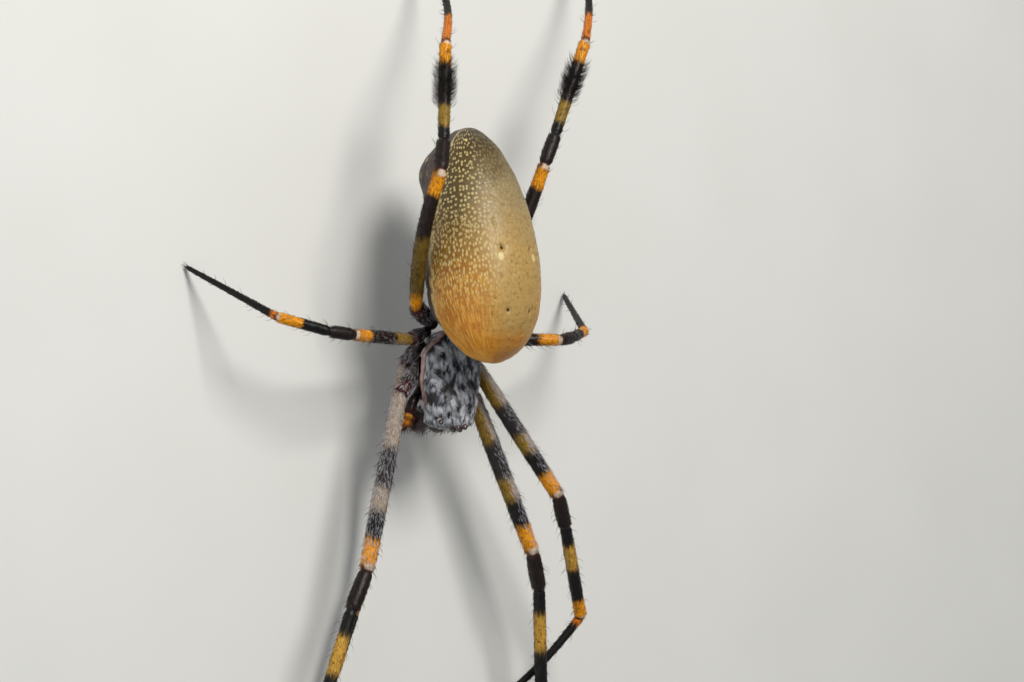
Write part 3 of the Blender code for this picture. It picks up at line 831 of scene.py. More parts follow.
# Muscle pits on each half of the back: along, degrees from the middle, radius and depth
PITS = (
    (0.177, 16.5, 0.24, 0.30), (0.435, 19.0, 0.26, 0.34), (0.226, 31.0, 0.12, 0.12),
    (0.325, 11.0, 0.10, 0.10), (0.302, 4.0, 0.08, 0.08), (0.411, 5.0, 0.09, 0.09),
    (0.372, 9.0, 0.07, 0.06), (0.56, 24.5, 0.10, 0.16), (0.545, 24.0, 0.10, 0.16),
    (0.53, 23.0, 0.10, 0.16), (0.66, 20.0, 0.09, 0.08), (0.09, 12.0, 0.08, 0.06),
)
# Pale patches: along, degrees from the middle, length and width
PATCHES = ((0.398, 21.5, 0.55, 0.42), (0.923, 44.0, 0.26, 0.22))
ABDOMEN_RINGS = 300
ABDOMEN_SIDES = 288


def nearness(places, centre, reach):
    """1 at a centre, falling smoothly to 0 beyond its reach in millimetres."""
    return np.exp(-(((places - centre) / reach) ** 2).sum(-1))


def abdomen_skin():
    """The abdomen's grid in its own frame with its dimples and folds, and its masks."""
    share = np.linspace(0.006, 0.994, ABDOMEN_RINGS)
    along = (0.5 - 0.5 * np.cos(math.pi * share))[:, None] * np.ones(ABDOMEN_SIDES)
    around = np.ones(ABDOMEN_RINGS)[:, None] * 2 * math.pi * np.arange(ABDOMEN_SIDES) / ABDOMEN_SIDES
    grid = abdomen_places(along, around)
    normals = grid_normals(grid)
    height = -0.03 + 0.035 * smooth_noise(grid, 4.0, 3) + 0.012 * smooth_noise(grid * (1, 0.5, 1), 1.1, 4)
    from_back = np.abs((around - BACK + math.pi) % (2 * math.pi) - math.pi)
    creases = np.sin(from_back * 46 + 1.6 * smooth_noise(grid, 6.0, 5))
    height += 0.02 * creases * np.exp(-((from_back - 1.75) / 0.4) ** 2) * np.exp(-((along - 0.5) / 0.3) ** 2)
    front_folds = np.sin(grid[..., 1] * 7.0 + 1.5 * smooth_noise(grid, 3.0, 6))
    height += 0.018 * front_folds * np.exp(-((along - 0.12) / 0.09) ** 2) * np.exp(-(from_back / 1.0) ** 2)
    pit = np.zeros_like(along)
    for place, degrees, reach, depth in PITS:
        for side in (-1, 1):
            centre = abdomen_places(place, BACK + side * math.radians(degrees))
            near = nearness(grid, centre, (reach, reach * 1.15, reach))
            height -= depth * near + 0.05 * nearness(grid, centre, 3.2 * reach)
            pit = np.maximum(pit, near * min(1.0, 0.55 + 2.5 * depth))
    patch = np.zeros_like(along)
    for place, degrees, length, width in PATCHES:
        for side in (-1, 1):
            centre = abdomen_places(place, BACK + side * math.radians(degrees))
            patch = np.maximum(patch, nearness(grid, centre, (width, length, width)))
    below = np.maximum(0.0, -np.sin(around))
    furrow = np.exp(-((along - 0.335) / 0.008) ** 2) * np.clip((below - 0.55) / 0.2, 0, 1)
    height -= 0.22 * furrow
    lung = nearness(grid * (1, 1, 0), abdomen_places(0.265, -BACK - 0.42) * (1, 1, 0), (1.5, 1.3, 1.0))
    lung += nearness(grid * (1, 1, 0), abdomen_places(0.265, -BACK + 0.42) * (1, 1, 0), (1.5, 1.3, 1.0))
    lung *= below > 0.3
    grid = grid + normals * height[..., None]
    masks = {"along": along, "down": from_back / math.pi, "pit": np.clip(pit, 0, 1), "patch": patch,
             "lung": np.clip(lung, 0, 1), "furrow": furrow, "local": grid,
             "sheet": np.stack((from_back * ABDOMEN_HALF_WIDTH, grid[..., 1], np.zeros_like(along)), -1)}
    return grid, normals, around, masks


AMBER = tint(180, 112, 14)
BRIGHT_AMBER = tint(216, 142, 28)
GOLDEN_BROWN = tint(126, 88, 24)
OLIVE_BROWN = tint(78, 62, 30)
TAIL_BROWN = tint(50, 43, 33)
TAN = tint(168, 136, 76)
GREY_TAN = tint(140, 122, 86)
CREAM = tint(212, 192, 132)
PALE_YELLOW = tint(222, 176, 78)
PURPLE_GREY = tint(78, 64, 62)
DARK_VENTER = tint(48, 39, 35)


def abdomen_finish():
    """Tan back, amber to olive flanks with dots and streaks, and a grey underside."""
    finish = Finish("abdomen_skin", Specular_IOR_Level=0.36, Subsurface_Weight=0.08, Subsurface_Scale=0.0008)
    local = finish.attribute("local", True)
    along = finish.attribute("along")
    down = finish.attribute("down")
    cloud = finish.noise(0.35, local, detail=4.0)
    mottle = finish.noise(2.2, local, detail=4.0, rough=0.6)
    grain = finish.noise(9.0, local, detail=3.0)
    shifted = finish.sway(cloud, 0.22, along)
    flank = finish.ramp(shifted, ((0.0, BRIGHT_AMBER), (0.22, AMBER), (0.42, GOLDEN_BROWN),
                                  (0.66, OLIVE_BROWN), (0.88, OLIVE_BROWN), (0.99, TAIL_BROWN)))
    back = finish.ramp(shifted, ((0.0, AMBER), (0.12, TAN), (0.45, TAN), (0.68, GREY_TAN),
                                 (0.86, OLIVE_BROWN), (0.99, TAIL_BROWN)))
    spread = finish.sway(mottle, 0.12, down)
    colour = finish.mix(finish.step(spread, 0.08, 0.40), back, flank)
    colour = finish.shade(finish.step(mottle, 0.5, 0.75), colour, 0.62, 0.52, 0.42)

    # Rows of cream dots towards the tail, and long pale streaks on the front flanks
    sheet = finish.attribute("sheet", True)
    wide = finish.cells(1.75, sheet, 0.8, "2D")
    fine = finish.cells(2.5, finish.stretched(sheet, 1, 0.6, 1), 0.85, "2D")
    streak = finish.cells(3.0, finish.stretched(sheet, 1, 0.2, 1), 0.9, "2D")
    size = finish.scaled(mottle, 0.5, -0.12)
    big_dots = finish.times(finish.step(finish.math("SUBTRACT", wide, size), 0.22, 0.06),
                            finish.step(along, 0.42, 0.62))
    middle = finish.times(finish.step(along, 0.12, 0.36), finish.step(along, 0.68, 0.48))
    small_dots = finish.times(finish.step(finish.math("SUBTRACT", fine, size), 0.29, 0.02), middle)
    off_back = finish.scaled(finish.step(down, 0.08, 0.26), 0.75, 0.25)
    dots = finish.times(finish.math("MAXIMUM", big_dots, small_dots), off_back)
    colour = finish.mix(finish.times(dots, 0.66), colour, CREAM)
    front = finish.times(finish.step(along, 0.5, 0.3), finish.step(down, 0.04, 0.42))
    streaks = finish.times(finish.step(streak, 0.4, 0.16), front)
    colour = finish.mix(finish.times(streaks, 0.6), colour, PALE_YELLOW)
    between_streaks = finish.times(finish.step(streak, 0.5, 0.75), front)
    colour = finish.mix(finish.times(between_streaks, 0.45), colour, tint(176, 100, 14))

    # Grey underside with cream streaks, and a painted highlight along its edge: a cream line where the
    # rounded flank catches the light
    edge = finish.sway(along, 0.26, finish.sway(cloud, 0.2, down))
    under = finish.step(edge, 0.53, 0.585)
    venter = finish.mix(finish.step(edge, 0.66, 0.85), PURPLE_GREY, DARK_VENTER)
    venter = finish.shade(finish.step(mottle, 0.4, 0.68), venter, 0.55, 0.5, 0.48)
    long_cells = finish.cells(0.95, finish.stretched(local, 1, 0.3, 1), 0.9)
    venter = finish.mix(finish.times(finish.step(long_cells, 0.3, 0.12), 0.75), venter, CREAM)
    colour = finish.mix(under, colour, venter)
    # Painted highlight: a broken cream line along the underside's edge, standing in for light caught on the
    # flank's rounded rim
    rim = finish.times(finish.step(edge, 0.515, 0.535), finish.step(edge, 0.57, 0.545))
    rim = finish.times(rim, finish.step(mottle, 0.35, 0.5))
    colour = finish.mix(finish.times(rim, 0.7), colour, CREAM)

    colour = finish.mix(finish.times(finish.attribute("lung"), 0.75), colour, DARK_VENTER)
    colour = finish.mix(finish.attribute("furrow"), colour, PALE_YELLOW)
    colour = finish.mix(finish.times(finish.step(finish.attribute("patch"), 0.3, 0.75), 0.9),
                        colour, CREAM)
    pit = finish.attribute("pit")
    colour = finish.mix(finish.step(pit, 0.45, 0.8), colour, BLACK)
    colour = finish.shade(finish.step(grain, 0.5, 0.85), colour, 0.75, 0.68, 0.6)
    height = finish.scaled(grain, 0.5, mottle)
    height = finish.scaled(dots, 0.35, height)
    return finish.set(Base_Color=colour, Roughness=finish.scaled(grain, 0.22, 0.33),
                      Normal=finish.bump(height, 0.05, 0.5))


def cell_areas(grid):
    """Area of skin round each point of a grid."""
    return np.linalg.norm(np.cross(np.gradient(grid, axis=0), np.gradient(grid, axis=1)), axis=-1)


def hair_roots(grid, normals, chance, count, draw):
    """Picks grid points by chance and moves each a little along the skin: index, place and outward."""
    pick = draw.choice(chance.size, count, p=(chance / chance.sum()).ravel())
    outward = normals.reshape(-1, 3)[pick]
    jitter = draw.normal(0, 0.05, (count, 3))
    jitter -= outward * (jitter * outward).sum(1, keepdims=True)
    return pick, grid.reshape(-1, 3)[pick] + jitter, outward


ABDOMEN_HAIRS = 5200


def make_abdomen():
    """The abdomen's skin and the thin pale fuzz on it."""
    grid, normals, around, masks = abdomen_skin()
    grid_piece("abdomen_skin", turned(grid, ABDOMEN_FRAME), abdomen_finish(), ["abdomen"],
               masks)

    draw = np.random.default_rng(21)
    chance = cell_areas(grid) * (0.35 + 0.65 * masks["along"] + 0.5 * (masks["down"] > 0.5))
    chance[masks["pit"] > 0.2] = 0
    pick, roots, outward = hair_roots(grid, normals, chance, ABDOMEN_HAIRS, draw)
    lie = np.array((0, 1, 0)) + draw.normal(0, 0.25, (ABDOMEN_HAIRS, 3))
    rotation = np.array(ABDOMEN_FRAME)[:3, :3]
    along = masks["along"].reshape(-1)[pick]
    places = np.stack((along, around.reshape(-1)[pick] / (2 * math.pi)), -1)
    finish = Finish("abdomen_hair", Roughness=0.45, Specular_IOR_Level=0.4)
    grey = finish.noise(3.0, detail=1.0)
    colour = finish.mix(grey, tint(184, 164, 122), tint(136, 116, 84))
    finish.set(Base_Color=finish.mix(finish.step(finish.attribute("along"), 0.9, 1.0), colour, BROWN_BLACK))
    make_coat("abdomen_fuzz", turned(roots, ABDOMEN_FRAME), outward @ rotation.T, lie @ rotation.T,
              draw.uniform(0.14, 0.3, ABDOMEN_HAIRS), 0.018, draw.uniform(0.1, 0.4, ABDOMEN_HAIRS), 0.3,
              places, finish.material, 22, {"along": along})


def abdomen_axes(along, around):
    """A place on the abdomen and the outward and tailward directions there, in the model's frame."""
    step = 0.01
    here = turned(abdomen_places(along, around), ABDOMEN_FRAME)
    behind = turned(abdomen_places(along + step, around), ABDOMEN_FRAME)
    before = turned(abdomen_places(along - step, around), ABDOMEN_FRAME)
    left = turned(abdomen_places(along, around + step), ABDOMEN_FRAME)
    right = turned(abdomen_places(along, around - step), ABDOMEN_FRAME)
    tailwards = unit(behind - before)
    return here, unit(np.cross(behind - before, left - right)), tailwards


SPIGOT_FORM = ((0, 1), (0.5, 0.95), (0.62, 0.9), (0.68, 0.72), (0.9, 0.6), (0.97, 0.42), (1, 0.1))
SPIGOT_RINGS = 26
SPIGOT_HAIRS = 130


def make_spinnerets(bristle):
    """Ringed base, six jointed spinnerets in three pairs' places and the small knob behind them."""
    root, outward, tailwards = abdomen_axes(SPINNERET_PLACE, -BACK)
    left = np.cross(outward, tailwards)
    finish = Finish("spinneret_skin", Specular_IOR_Level=0.4)
    place = finish.place()
    rings = finish.noise(4.0, place, detail=3.0)
    colour = finish.mix(finish.step(rings, 0.35, 0.65), tint(120, 82, 44), tint(58, 38, 26))
    finish.set(Base_Color=colour, Normal=finish.bump(finish.noise(14.0, place), 0.04, 0.5),
               Roughness=finish.scaled(rings, 0.2, 0.4))
    heights = np.linspace(-0.25, 1.0, 16)
    base = Tube(root + outward * heights[:, None], 1.3 * np.sqrt(np.clip(1 - (heights / 1.35) ** 2, 0.05, 1))
                * (1 + 0.035 * np.cos(heights * 16)), 40, guide=tailwards)
    grid_piece("spinneret_base", base.grid, finish.material, ["spinnerets"])
    spigots = (
        ("front", 0.5, -0.45, 0.44, 1.75, 0.15), ("rear", 0.42, 0.35, 0.34, 1.55, 0.45),
        ("middle", 0.16, -0.02, 0.16, 1.15, 0.2), ("knob", 0.0, 0.8, 0.33, 1.1, 0.7),
    )
    draw = np.random.default_rng(31)
    for name, across, behind, radius, length, lean in spigots:
        for side in ((-1, 1) if across else (1,)):
            start = root + left * across * side + tailwards * behind + outward * 0.25
            way = unit(outward + tailwards * lean - left * 0.2 * side)
            t = np.linspace(0, 1, SPIGOT_RINGS)
            bend = np.outer(t ** 2, -left * side * 0.25 - tailwards * 0.15)
            radii = radius * np.interp(t, *zip(*SPIGOT_FORM))
            tube = Tube(start + np.outer(t * length, way) + bend, radii, 20, guide=tailwards)
            label = f"spinneret_{name}" + ("" if not across else "_L" if side > 0 else "_R")
            grid_piece(label, tube.grid, finish.material)
            spots = tube.spots(SPIGOT_HAIRS, draw, start=0.15)
            shares = np.stack((spots[0] / SPIGOT_RINGS, spots[1] / (2 * math.pi)), -1)
            make_coat(label + "_hair", spots[2], spots[3], spots[4], draw.uniform(0.2, 0.45, SPIGOT_HAIRS),
                      0.025, draw.uniform(0.3, 0.8, SPIGOT_HAIRS), 0.3, shares, bristle, 33)


def make_pedicel():
    """The thin ringed waist between prosoma and abdomen."""
    start = np.array(on_prosoma(0, PROSOMA_REAR + 0.4, -0.9))
    end, outward, _ = abdomen_axes(WAIST_PLACE, -BACK)
    t = np.linspace(0, 1, 30)[:, None]
    path = start * (1 - t) + (end - outward * 0.5) * t
    radii = PEDICEL_RADIUS * (1 + 0.16 * np.cos(t[:, 0] * 24))
    tube = Tube(path, radii, 24)
    finish = Finish("pedicel_skin", Specular_IOR_Level=0.45)
    cloud = finish.noise(5.0, detail=3.0)
    finish.set(Base_Color=finish.mix(cloud, DARK_RED, BROWN_BLACK), Normal=finish.bump(cloud, 0.05, 0.5),
               Roughness=finish.scaled(cloud, 0.2, 0.35))
    grid_piece("waist", tube.grid, finish.material, ["pedicel"])


# Prosoma

def between(value, places):
    """Smooth curve through (place, height) pairs, read at a value."""
    for (x0, y0), (x1, y1) in zip(places, places[1:]):
        if value <= x1:
            share = (value - x0) / (x1 - x0)
            share = share * share * (3 - 2 * share)
            return y0 + (y1 - y0) * share
    return places[-1][1]


RIM_PROFILE = ((PROSOMA_REAR, 0.4 * CARAPACE_HALF_WIDTH), (-2.8, CARAPACE_HALF_WIDTH),
               (-0.4, CARAPACE_HALF_WIDTH * 0.98), (2.8, HEAD_HALF_WIDTH),
               (4.4, HEAD_HALF_WIDTH * 0.9), (PROSOMA_FRONT, HEAD_HALF_WIDTH * 0.72))
TOP_PROFILE = ((PROSOMA_REAR, 0.3 * THORAX_HEIGHT), (-2.8, THORAX_HEIGHT), (-0.8, THORAX_HEIGHT * 1.04),
               (2.4, HEAD_HEIGHT), (4.2, HEAD_HEIGHT * 0.95), (PROSOMA_FRONT, HEAD_HEIGHT * 0.62))
DEPTH_PROFILE = ((PROSOMA_REAR, 0.3 * STERNUM_DEPTH), (-4.6, STERNUM_DEPTH * 0.92), (-1.2, STERNUM_DEPTH),
                 (2.2, STERNUM_DEPTH * 0.1), (PROSOMA_FRONT, 0.0))
BELLY_PROFILE = ((PROSOMA_REAR, 1.2), (-4.2, 2.35), (0.0, 2.45), (PROSOMA_FRONT, 1.5))
DOME_STEPS = 60
UNDER_STEPS = 26
PROSOMA_RINGS = 150
# Bald black spots of the carapace on each half: outward, forward and the reach of each
BALD_SPOTS = (
    (3.05, -1.38, 0.52, 0.42), (2.1, 0.6, 0.50, 0.62), (1.45, -0.1, 0.45, 0.50), (0.0, 0.1, 0.30, 0.40),
    (0.88, 2.25, 0.40, 0.55), (2.85, -3.1, 0.42, 0.36), (1.15, -2.6, 0.40, 0.60), (3.5, 0.24, 0.20, 0.30),
    (2.65, 2.2, 0.22, 0.32), (3.4, 1.75, 0.50, 0.70), (0.44, -1.7, 0.26, 0.40), (1.9, 3.3, 0.22, 0.40),
)
EYES = (
    ("front_middle", 0.46, 5.15, 2.35, 0.31), ("rear_middle", 0.50, 4.75, 3.10, 0.29),
    ("front_side", 2.02, 4.78, 1.72, 0.25), ("rear_side", 2.25, 4.35, 2.16, 0.25),
)


def prosoma_ring(forward):
    """One cross-section as outward and up places: the dome, its rim and the narrower underside."""
    rim = between(forward, RIM_PROFILE)
    top = between(forward, TOP_PROFILE)
    depth = between(forward, DEPTH_PROFILE)
    belly = between(forward, BELLY_PROFILE)
    a = np.linspace(0, math.pi / 2, DOME_STEPS)
    dome = np.stack((np.sin(a) ** 0.85 * rim, np.cos(a) ** 0.9 * top), -1)
    corners = np.array((
        (rim, 0.0), (rim * 0.97, -0.25), (belly * 1.12, -0.42), (belly, -0.55 - 0.12 * depth),
        (belly * 0.97, -0.5 - 0.6 * depth), (belly * 0.6, -0.5 - 0.93 * depth), (0.0, -0.5 - depth)))
    knots = np.concatenate(([0], np.cumsum(np.linalg.norm(np.diff(corners, axis=0), axis=1))))
    even = np.linspace(0, knots[-1], 240)
    under = np.stack([np.interp(even, knots, column) for column in corners.T], -1)
    under[1:-1] = soften(under, 16)[1:-1]
    under = under[np.linspace(0, 239, UNDER_STEPS).astype(int)][1:]
    half = np.concatenate((dome, under))
    mirrored = half[1:-1][::-1] * (-1, 1)
    return np.concatenate((half, mirrored))


def line_distance(places, start, end):
    start, end = np.asarray(start, float), np.asarray(end, float)
    along = np.clip(((places - start) @ (end - start)) / ((end - start) @ (end - start)), 0, 1)
    return np.linalg.norm(places - start - along[..., None] * (end - start), axis=-1)


def prosoma_skin():
    """The prosoma's grid in its own frame with grooves, rim and eye knobs, and its masks."""
    share = 0.5 - 0.5 * np.cos(math.pi * np.linspace(0.045, 0.985, PROSOMA_RINGS))
    stations = PROSOMA_FRONT + (PROSOMA_REAR - PROSOMA_FRONT) * share
    rings = []
    for forward in stations:
        ring = prosoma_ring(forward)
        nose = np.clip((forward - 4.7) / (PROSOMA_FRONT - 4.7 + 0.01), 0, 1)
        tail = np.clip((-5.1 - forward) / (-5.1 - PROSOMA_REAR), 0, 1)
        shrink = math.sqrt(max(0.0, 1 - nose ** 3)) * (1 - 0.35 * tail ** 2)
        middle = np.array((0.0, 1.1 - 1.2 * tail))
        ring = middle + (ring - middle) * (0.12 + 0.88 * shrink)
        rings.append(np.stack((ring[:, 0], np.full(len(ring), forward), ring[:, 1]), -1))
    grid = np.array(rings)
    normals = grid_normals(grid)
    flat = np.stack((np.abs(grid[..., 0]), grid[..., 1]), -1)
    upper = np.clip(grid[..., 2] / 0.5, 0, 1)
    ring_tops = np.array([between(f, TOP_PROFILE) for f in stations])[:, None]
    height = -0.15 + 0.03 * smooth_noise(grid, 2.2, 11)
    groove = line_distance(flat, (0.25, -2.0), (3.3, 1.5))
    height -= 0.20 * np.exp(-(groove / 0.26) ** 2) * upper
    for end in ((3.6, -0.6), (3.7, -2.4), (2.7, -4.4)):
        height -= 0.10 * np.exp(-(line_distance(flat, (0.5, -2.2), end) / 0.22) ** 2) * upper
    fovea = np.exp(-(flat[..., 0] / 0.55) ** 2 - ((flat[..., 1] + 2.2) / 0.2) ** 2)
    height -= 0.42 * fovea * upper
    rim_band = np.exp(-((grid[..., 2] - 0.1) / 0.46) ** 2) * (grid[..., 1] < 3.2)
    rim_band *= np.abs(grid[..., 0]) > 0.8
    height += 0.17 * rim_band
    for _, outward, forward, up, _ in EYES:
        knob = nearness(np.stack((flat[..., 0], flat[..., 1], grid[..., 2]), -1), (outward, forward, up),
                        (0.42, 0.42, 0.42))
        height += 0.12 * knob
    bald = fovea * upper
    for outward, forward, wide, long in BALD_SPOTS:
        spot = np.exp(-((flat[..., 0] - outward) / wide) ** 2 - ((flat[..., 1] - forward) / long) ** 2)
        bald = np.maximum(bald, spot * upper)
        height -= 0.05 * spot * upper
    face = np.clip((grid[..., 1] - 4.25) / 0.3, 0, 1)
    grid = grid + normals * height[..., None]
    up_share = grid[..., 2] / np.maximum(ring_tops, 0.5)
    masks = {"bald": np.clip(bald, 0, 1), "rim": np.clip(rim_band, 0, 1), "face": face,
             "upper": np.clip(up_share, -1, 1), "local": grid}
    return grid, normals, masks


def prosoma_finish():
    """Black cuticle with a pinkish rim above and a brown sternum below."""
    finish = Finish("carapace", Specular_IOR_Level=0.5, Sheen_Weight=0.08)
    local = finish.attribute("local", True)
    cloud = finish.noise(1.3, local, detail=4.0)
    grain = finish.noise(8.0, local, detail=3.0)
    colour = finish.mix(cloud, tint(10, 7, 7), BLACK)
    rim = finish.attribute("rim")
    rim_colour = finish.mix(finish.step(cloud, 0.35, 0.65), tint(172, 142, 136), tint(126, 90, 86))
    colour = finish.mix(finish.step(rim, 0.35, 0.75), colour, rim_colour)
    under = finish.step(finish.attribute("upper"), -0.06, -0.2)
    sternum = finish.mix(finish.step(cloud, 0.4, 0.62), tint(96, 54, 26), BROWN_BLACK)
    colour = finish.mix(under, colour, sternum)
    return finish.set(Base_Color=colour, Normal=finish.bump(grain, 0.05, 0.6),
                      Roughness=finish.scaled(grain, 0.25, 0.22))


def silver_hair_finish():
    """From black to white by each hair's tone."""
    finish = Finish("silver_hair", Roughness=0.42, Specular_IOR_Level=0.5, Sheen_Weight=0.2)
    tone = finish.attribute("tone")
    return finish.set(Base_Color=finish.ramp(tone, (
        (0.0, tint(10, 8, 9)), (0.38, tint(40, 38, 44)), (0.56, tint(186, 188, 200)),
        (1.0, tint(255, 255, 255)))))


CARAPACE_HAIRS = 17500


def make_prosoma():
    """The prosoma's skin and the silver hair of its carapace, thin on the sternum."""
    grid, normals, masks = prosoma_skin()
    rings, sides = grid.shape[:2]
    grid_piece("prosoma_skin", prosoma_places(grid), prosoma_finish(), ["prosoma"], masks)

    draw = np.random.default_rng(41)
    clump = smooth_noise(grid * (1.5, 0.7, 1), 0.9, 42)
    cover = np.clip(1.15 - 2.6 * masks["bald"], 0, 1) * np.clip(1 - 2.4 * masks["rim"], 0, 1)
    cover *= np.clip(1 - 0.82 * masks["face"], 0, 1) * np.clip((masks["upper"] - 0.04) / 0.1, 0, 1)
    cover *= 0.2 + 0.8 * (clump > -0.2)
    sides_of_head = (masks["upper"] < 0.1) & (masks["upper"] > -0.3) & (grid[..., 1] > 1.5)
    sternum = (masks["upper"] < -0.35) & (grid[..., 1] < 0.5)
    cover = np.maximum(cover, 0.12 * sides_of_head + 0.10 * sternum)
    pick, roots, outward = hair_roots(grid, normals, cell_areas(grid) * cover, CARAPACE_HAIRS, draw)
    swirl = smooth_noise(roots, 2.4, 43) * 0.55 + smooth_noise(roots, 0.8, 44) * 0.35
    side = np.sign(roots[:, 0]) * np.clip(np.abs(roots[:, 0]) / 3, 0, 1)
    lie = np.stack((np.sin(swirl) - 0.35 * side, np.cos(swirl), np.full(CARAPACE_HAIRS, -0.1)), -1)
    lie += draw.normal(0, 0.22, lie.shape)
    tone = np.clip(0.58 + 0.4 * clump.reshape(-1)[pick] + draw.normal(0, 0.2, CARAPACE_HAIRS), 0, 1)
    tone *= 1 - 0.8 * np.clip(masks["bald"].reshape(-1)[pick] * 1.4, 0, 1)
    places = np.stack((pick % sides / sides, pick // sides / rings), -1)
    lengths = draw.uniform(0.35, 0.8, CARAPACE_HAIRS) * (1 - 0.5 * masks["face"].reshape(-1)[pick])
    make_coat("carapace_fur", prosoma_places(roots), prosoma_ways(outward), prosoma_ways(lie), lengths,
              0.036, draw.uniform(0.08, 0.4, CARAPACE_HAIRS), draw.uniform(0.1, 0.4, CARAPACE_HAIRS),
              places, silver_hair_finish(), 45, {"tone": tone})


def ball_grid(rings=24, sides=32):
    """Unit ball as a grid of rings from its lower to its upper end."""
    polar = np.linspace(0.04, math.pi - 0.04, rings)[:, None]
    around = 2 * math.pi * np.arange(sides)[None] / sides
    return np.stack((np.sin(polar) * np.cos(around), np.sin(polar) * np.sin(around),
                     -np.cos(polar) * np.ones(sides)), -1)


def make_ball(name, centre, radii, material):
    """An ellipsoid in the prosoma's frame: centre and radii are outward, forward and up."""
    return grid_piece(name, prosoma_places(ball_grid() * radii + centre), material)


def make_eyes():
    """Four pairs of eyes: a dark glossy lens each, in a low brown socket."""
    lens = Finish("eye_lens", Roughness=0.06, Specular_IOR_Level=0.7, Coat_Weight=1.0, Coat_Roughness=0.03)
    depth = lens.noise(6.0, detail=1.0)
    lens.set(Base_Color=lens.mix(depth, tint(14, 9, 8), tint(34, 18, 12)))
    socket = Finish("eye_socket", Roughness=0.3)
    ring = socket.noise(9.0, detail=2.0)
    socket.set(Base_Color=socket.mix(ring, tint(92, 44, 26), BLACK), Normal=socket.bump(ring, 0.03, 0.4))
    for name, outward, forward, up, radius in EYES:
        for side, letter in ((-1, "R"), (1, "L")):
            centre = np.array((side * outward, forward, up))
            away = unit(np.array((side * outward * 0.8, 2.2 if "front" in name else 1.4, up - 0.6)))
            make_ball(f"eye_{name}_{letter}", centre + away * 0.05, (radius,) * 3, lens.material)
            make_ball(f"eye_socket_{name}_{letter}", centre - away * 0.1, (radius * 1.24,) * 3,
                      socket.material)


def make_mouthparts(finish):
    """The lip and the two palp bases beside it, under the head."""
    make_ball("lip", np.array((0, 0.2, -2.72)), (0.8, 1.05, 0.66), finish)
    for side, letter in ((-1, "R"), (1, "L")):
        make_ball(f"palp_base_{letter}", np.array((side * 1.5, 1.1, -2.2)), (0.78, 1.62, 0.82), finish)


def chitin_finish(name, first, second, roughness=0.18):
    """Hard dark cuticle with a gloss, cloudy between two colours."""
    finish = Finish(name, Specular_IOR_Level=0.55, Coat_Weight=0.25, Coat_Roughness=0.15)
    place = finish.place()
    cloud = finish.noise(1.6, place, detail=3.0)
    grain = finish.noise(12.0, place, detail=2.0)
    return finish.set(Base_Color=finish.mix(finish.step(cloud, 0.38, 0.68), first, second),
                      Roughness=finish.scaled(grain, 0.25, roughness),
                      Normal=finish.bump(grain, 0.03, 0.45))


JAW_RINGS = 46
JAW_SIDES = 40
JAW_HAIRS = 240
FANG_RINGS = 30
FANG_SIDES = 22


def make_jaws(bristle):
    """Stout glossy jaws with sparse bristles, and the curved fangs folded across their ends."""
    jaw = chitin_finish("jaw", BLACK, tint(66, 18, 14))
    fang_finish = chitin_finish("fang", tint(30, 8, 6), tint(92, 22, 12), 0.08)
    draw = np.random.default_rng(51)
    for outward, letter in ((-1, "R"), (1, "L")):
        t = np.linspace(-0.06, 1.02, JAW_RINGS)
        fullness = superellipse((t - 0.42) / 0.68, 2.6)
        ahead = 4.4 + 0.8 * np.sin(math.pi * np.minimum(1, t * 1.1 + 0.05))
        angles = 2 * math.pi * np.arange(JAW_SIDES) / JAW_SIDES
        grid = np.stack((
            outward * 1.42 + 1.17 * fullness[:, None] * np.cos(angles),
            ahead[:, None] + 1.27 * fullness[:, None] * np.sin(angles),
            (JAW_TOP - JAW_LENGTH * t)[:, None] * np.ones(JAW_SIDES)), -1)
        normals = grid_normals(grid)
        boss = nearness(grid, np.array((outward * 2.45, 4.9, JAW_TOP - 0.35)), (0.5, 0.6, 0.32))
        furrow = nearness(grid, np.array((outward * 1.2, 4.6, JAW_TOP - JAW_LENGTH)), (1.0, 0.3, 0.25))
        grid = grid + normals * (0.12 * boss - 0.12 * furrow + 0.02 * smooth_noise(grid, 1.6, 52))[..., None]
        grid_piece(f"jaw_{letter}", prosoma_places(grid), jaw, [f"chelicera_{letter}"])
        pick = draw.integers(4 * JAW_SIDES, (JAW_RINGS - 4) * JAW_SIDES, JAW_HAIRS)
        lie = np.array((0, 0.35, -1)) + draw.normal(0, 0.25, (JAW_HAIRS, 3))
        places = np.stack((pick % JAW_SIDES / JAW_SIDES, pick // JAW_SIDES / JAW_RINGS), -1)
        make_coat(f"jaw_bristles_{letter}", prosoma_places(grid.reshape(-1, 3)[pick]),
                  prosoma_ways(normals.reshape(-1, 3)[pick]), prosoma_ways(lie),
                  draw.uniform(0.5, 1.3, JAW_HAIRS), 0.04, draw.uniform(0.6, 1.1, JAW_HAIRS), 0.4,
                  places, bristle, 53)

        share = np.linspace(-0.12, 1, FANG_RINGS)
        sweep = np.radians(100) * share
        share = np.clip(share, 0, 1)
        radii = (0.34 - 0.29 * share) * np.where(share > 0.97, 0.7, 1)
        path = np.stack((
            outward * (1.75 - 0.95 * np.sin(sweep)), 4.7 - 0.75 * (1 - np.cos(sweep)),
            JAW_TOP - JAW_LENGTH - 0.3 - 0.55 * np.sin(sweep) - radii * 0.2), -1)
        tube = Tube(prosoma_places(path), radii, FANG_SIDES)
        grid_piece(f"fang_curve_{letter}", tube.grid, fang_finish, [f"fang_{letter}"])


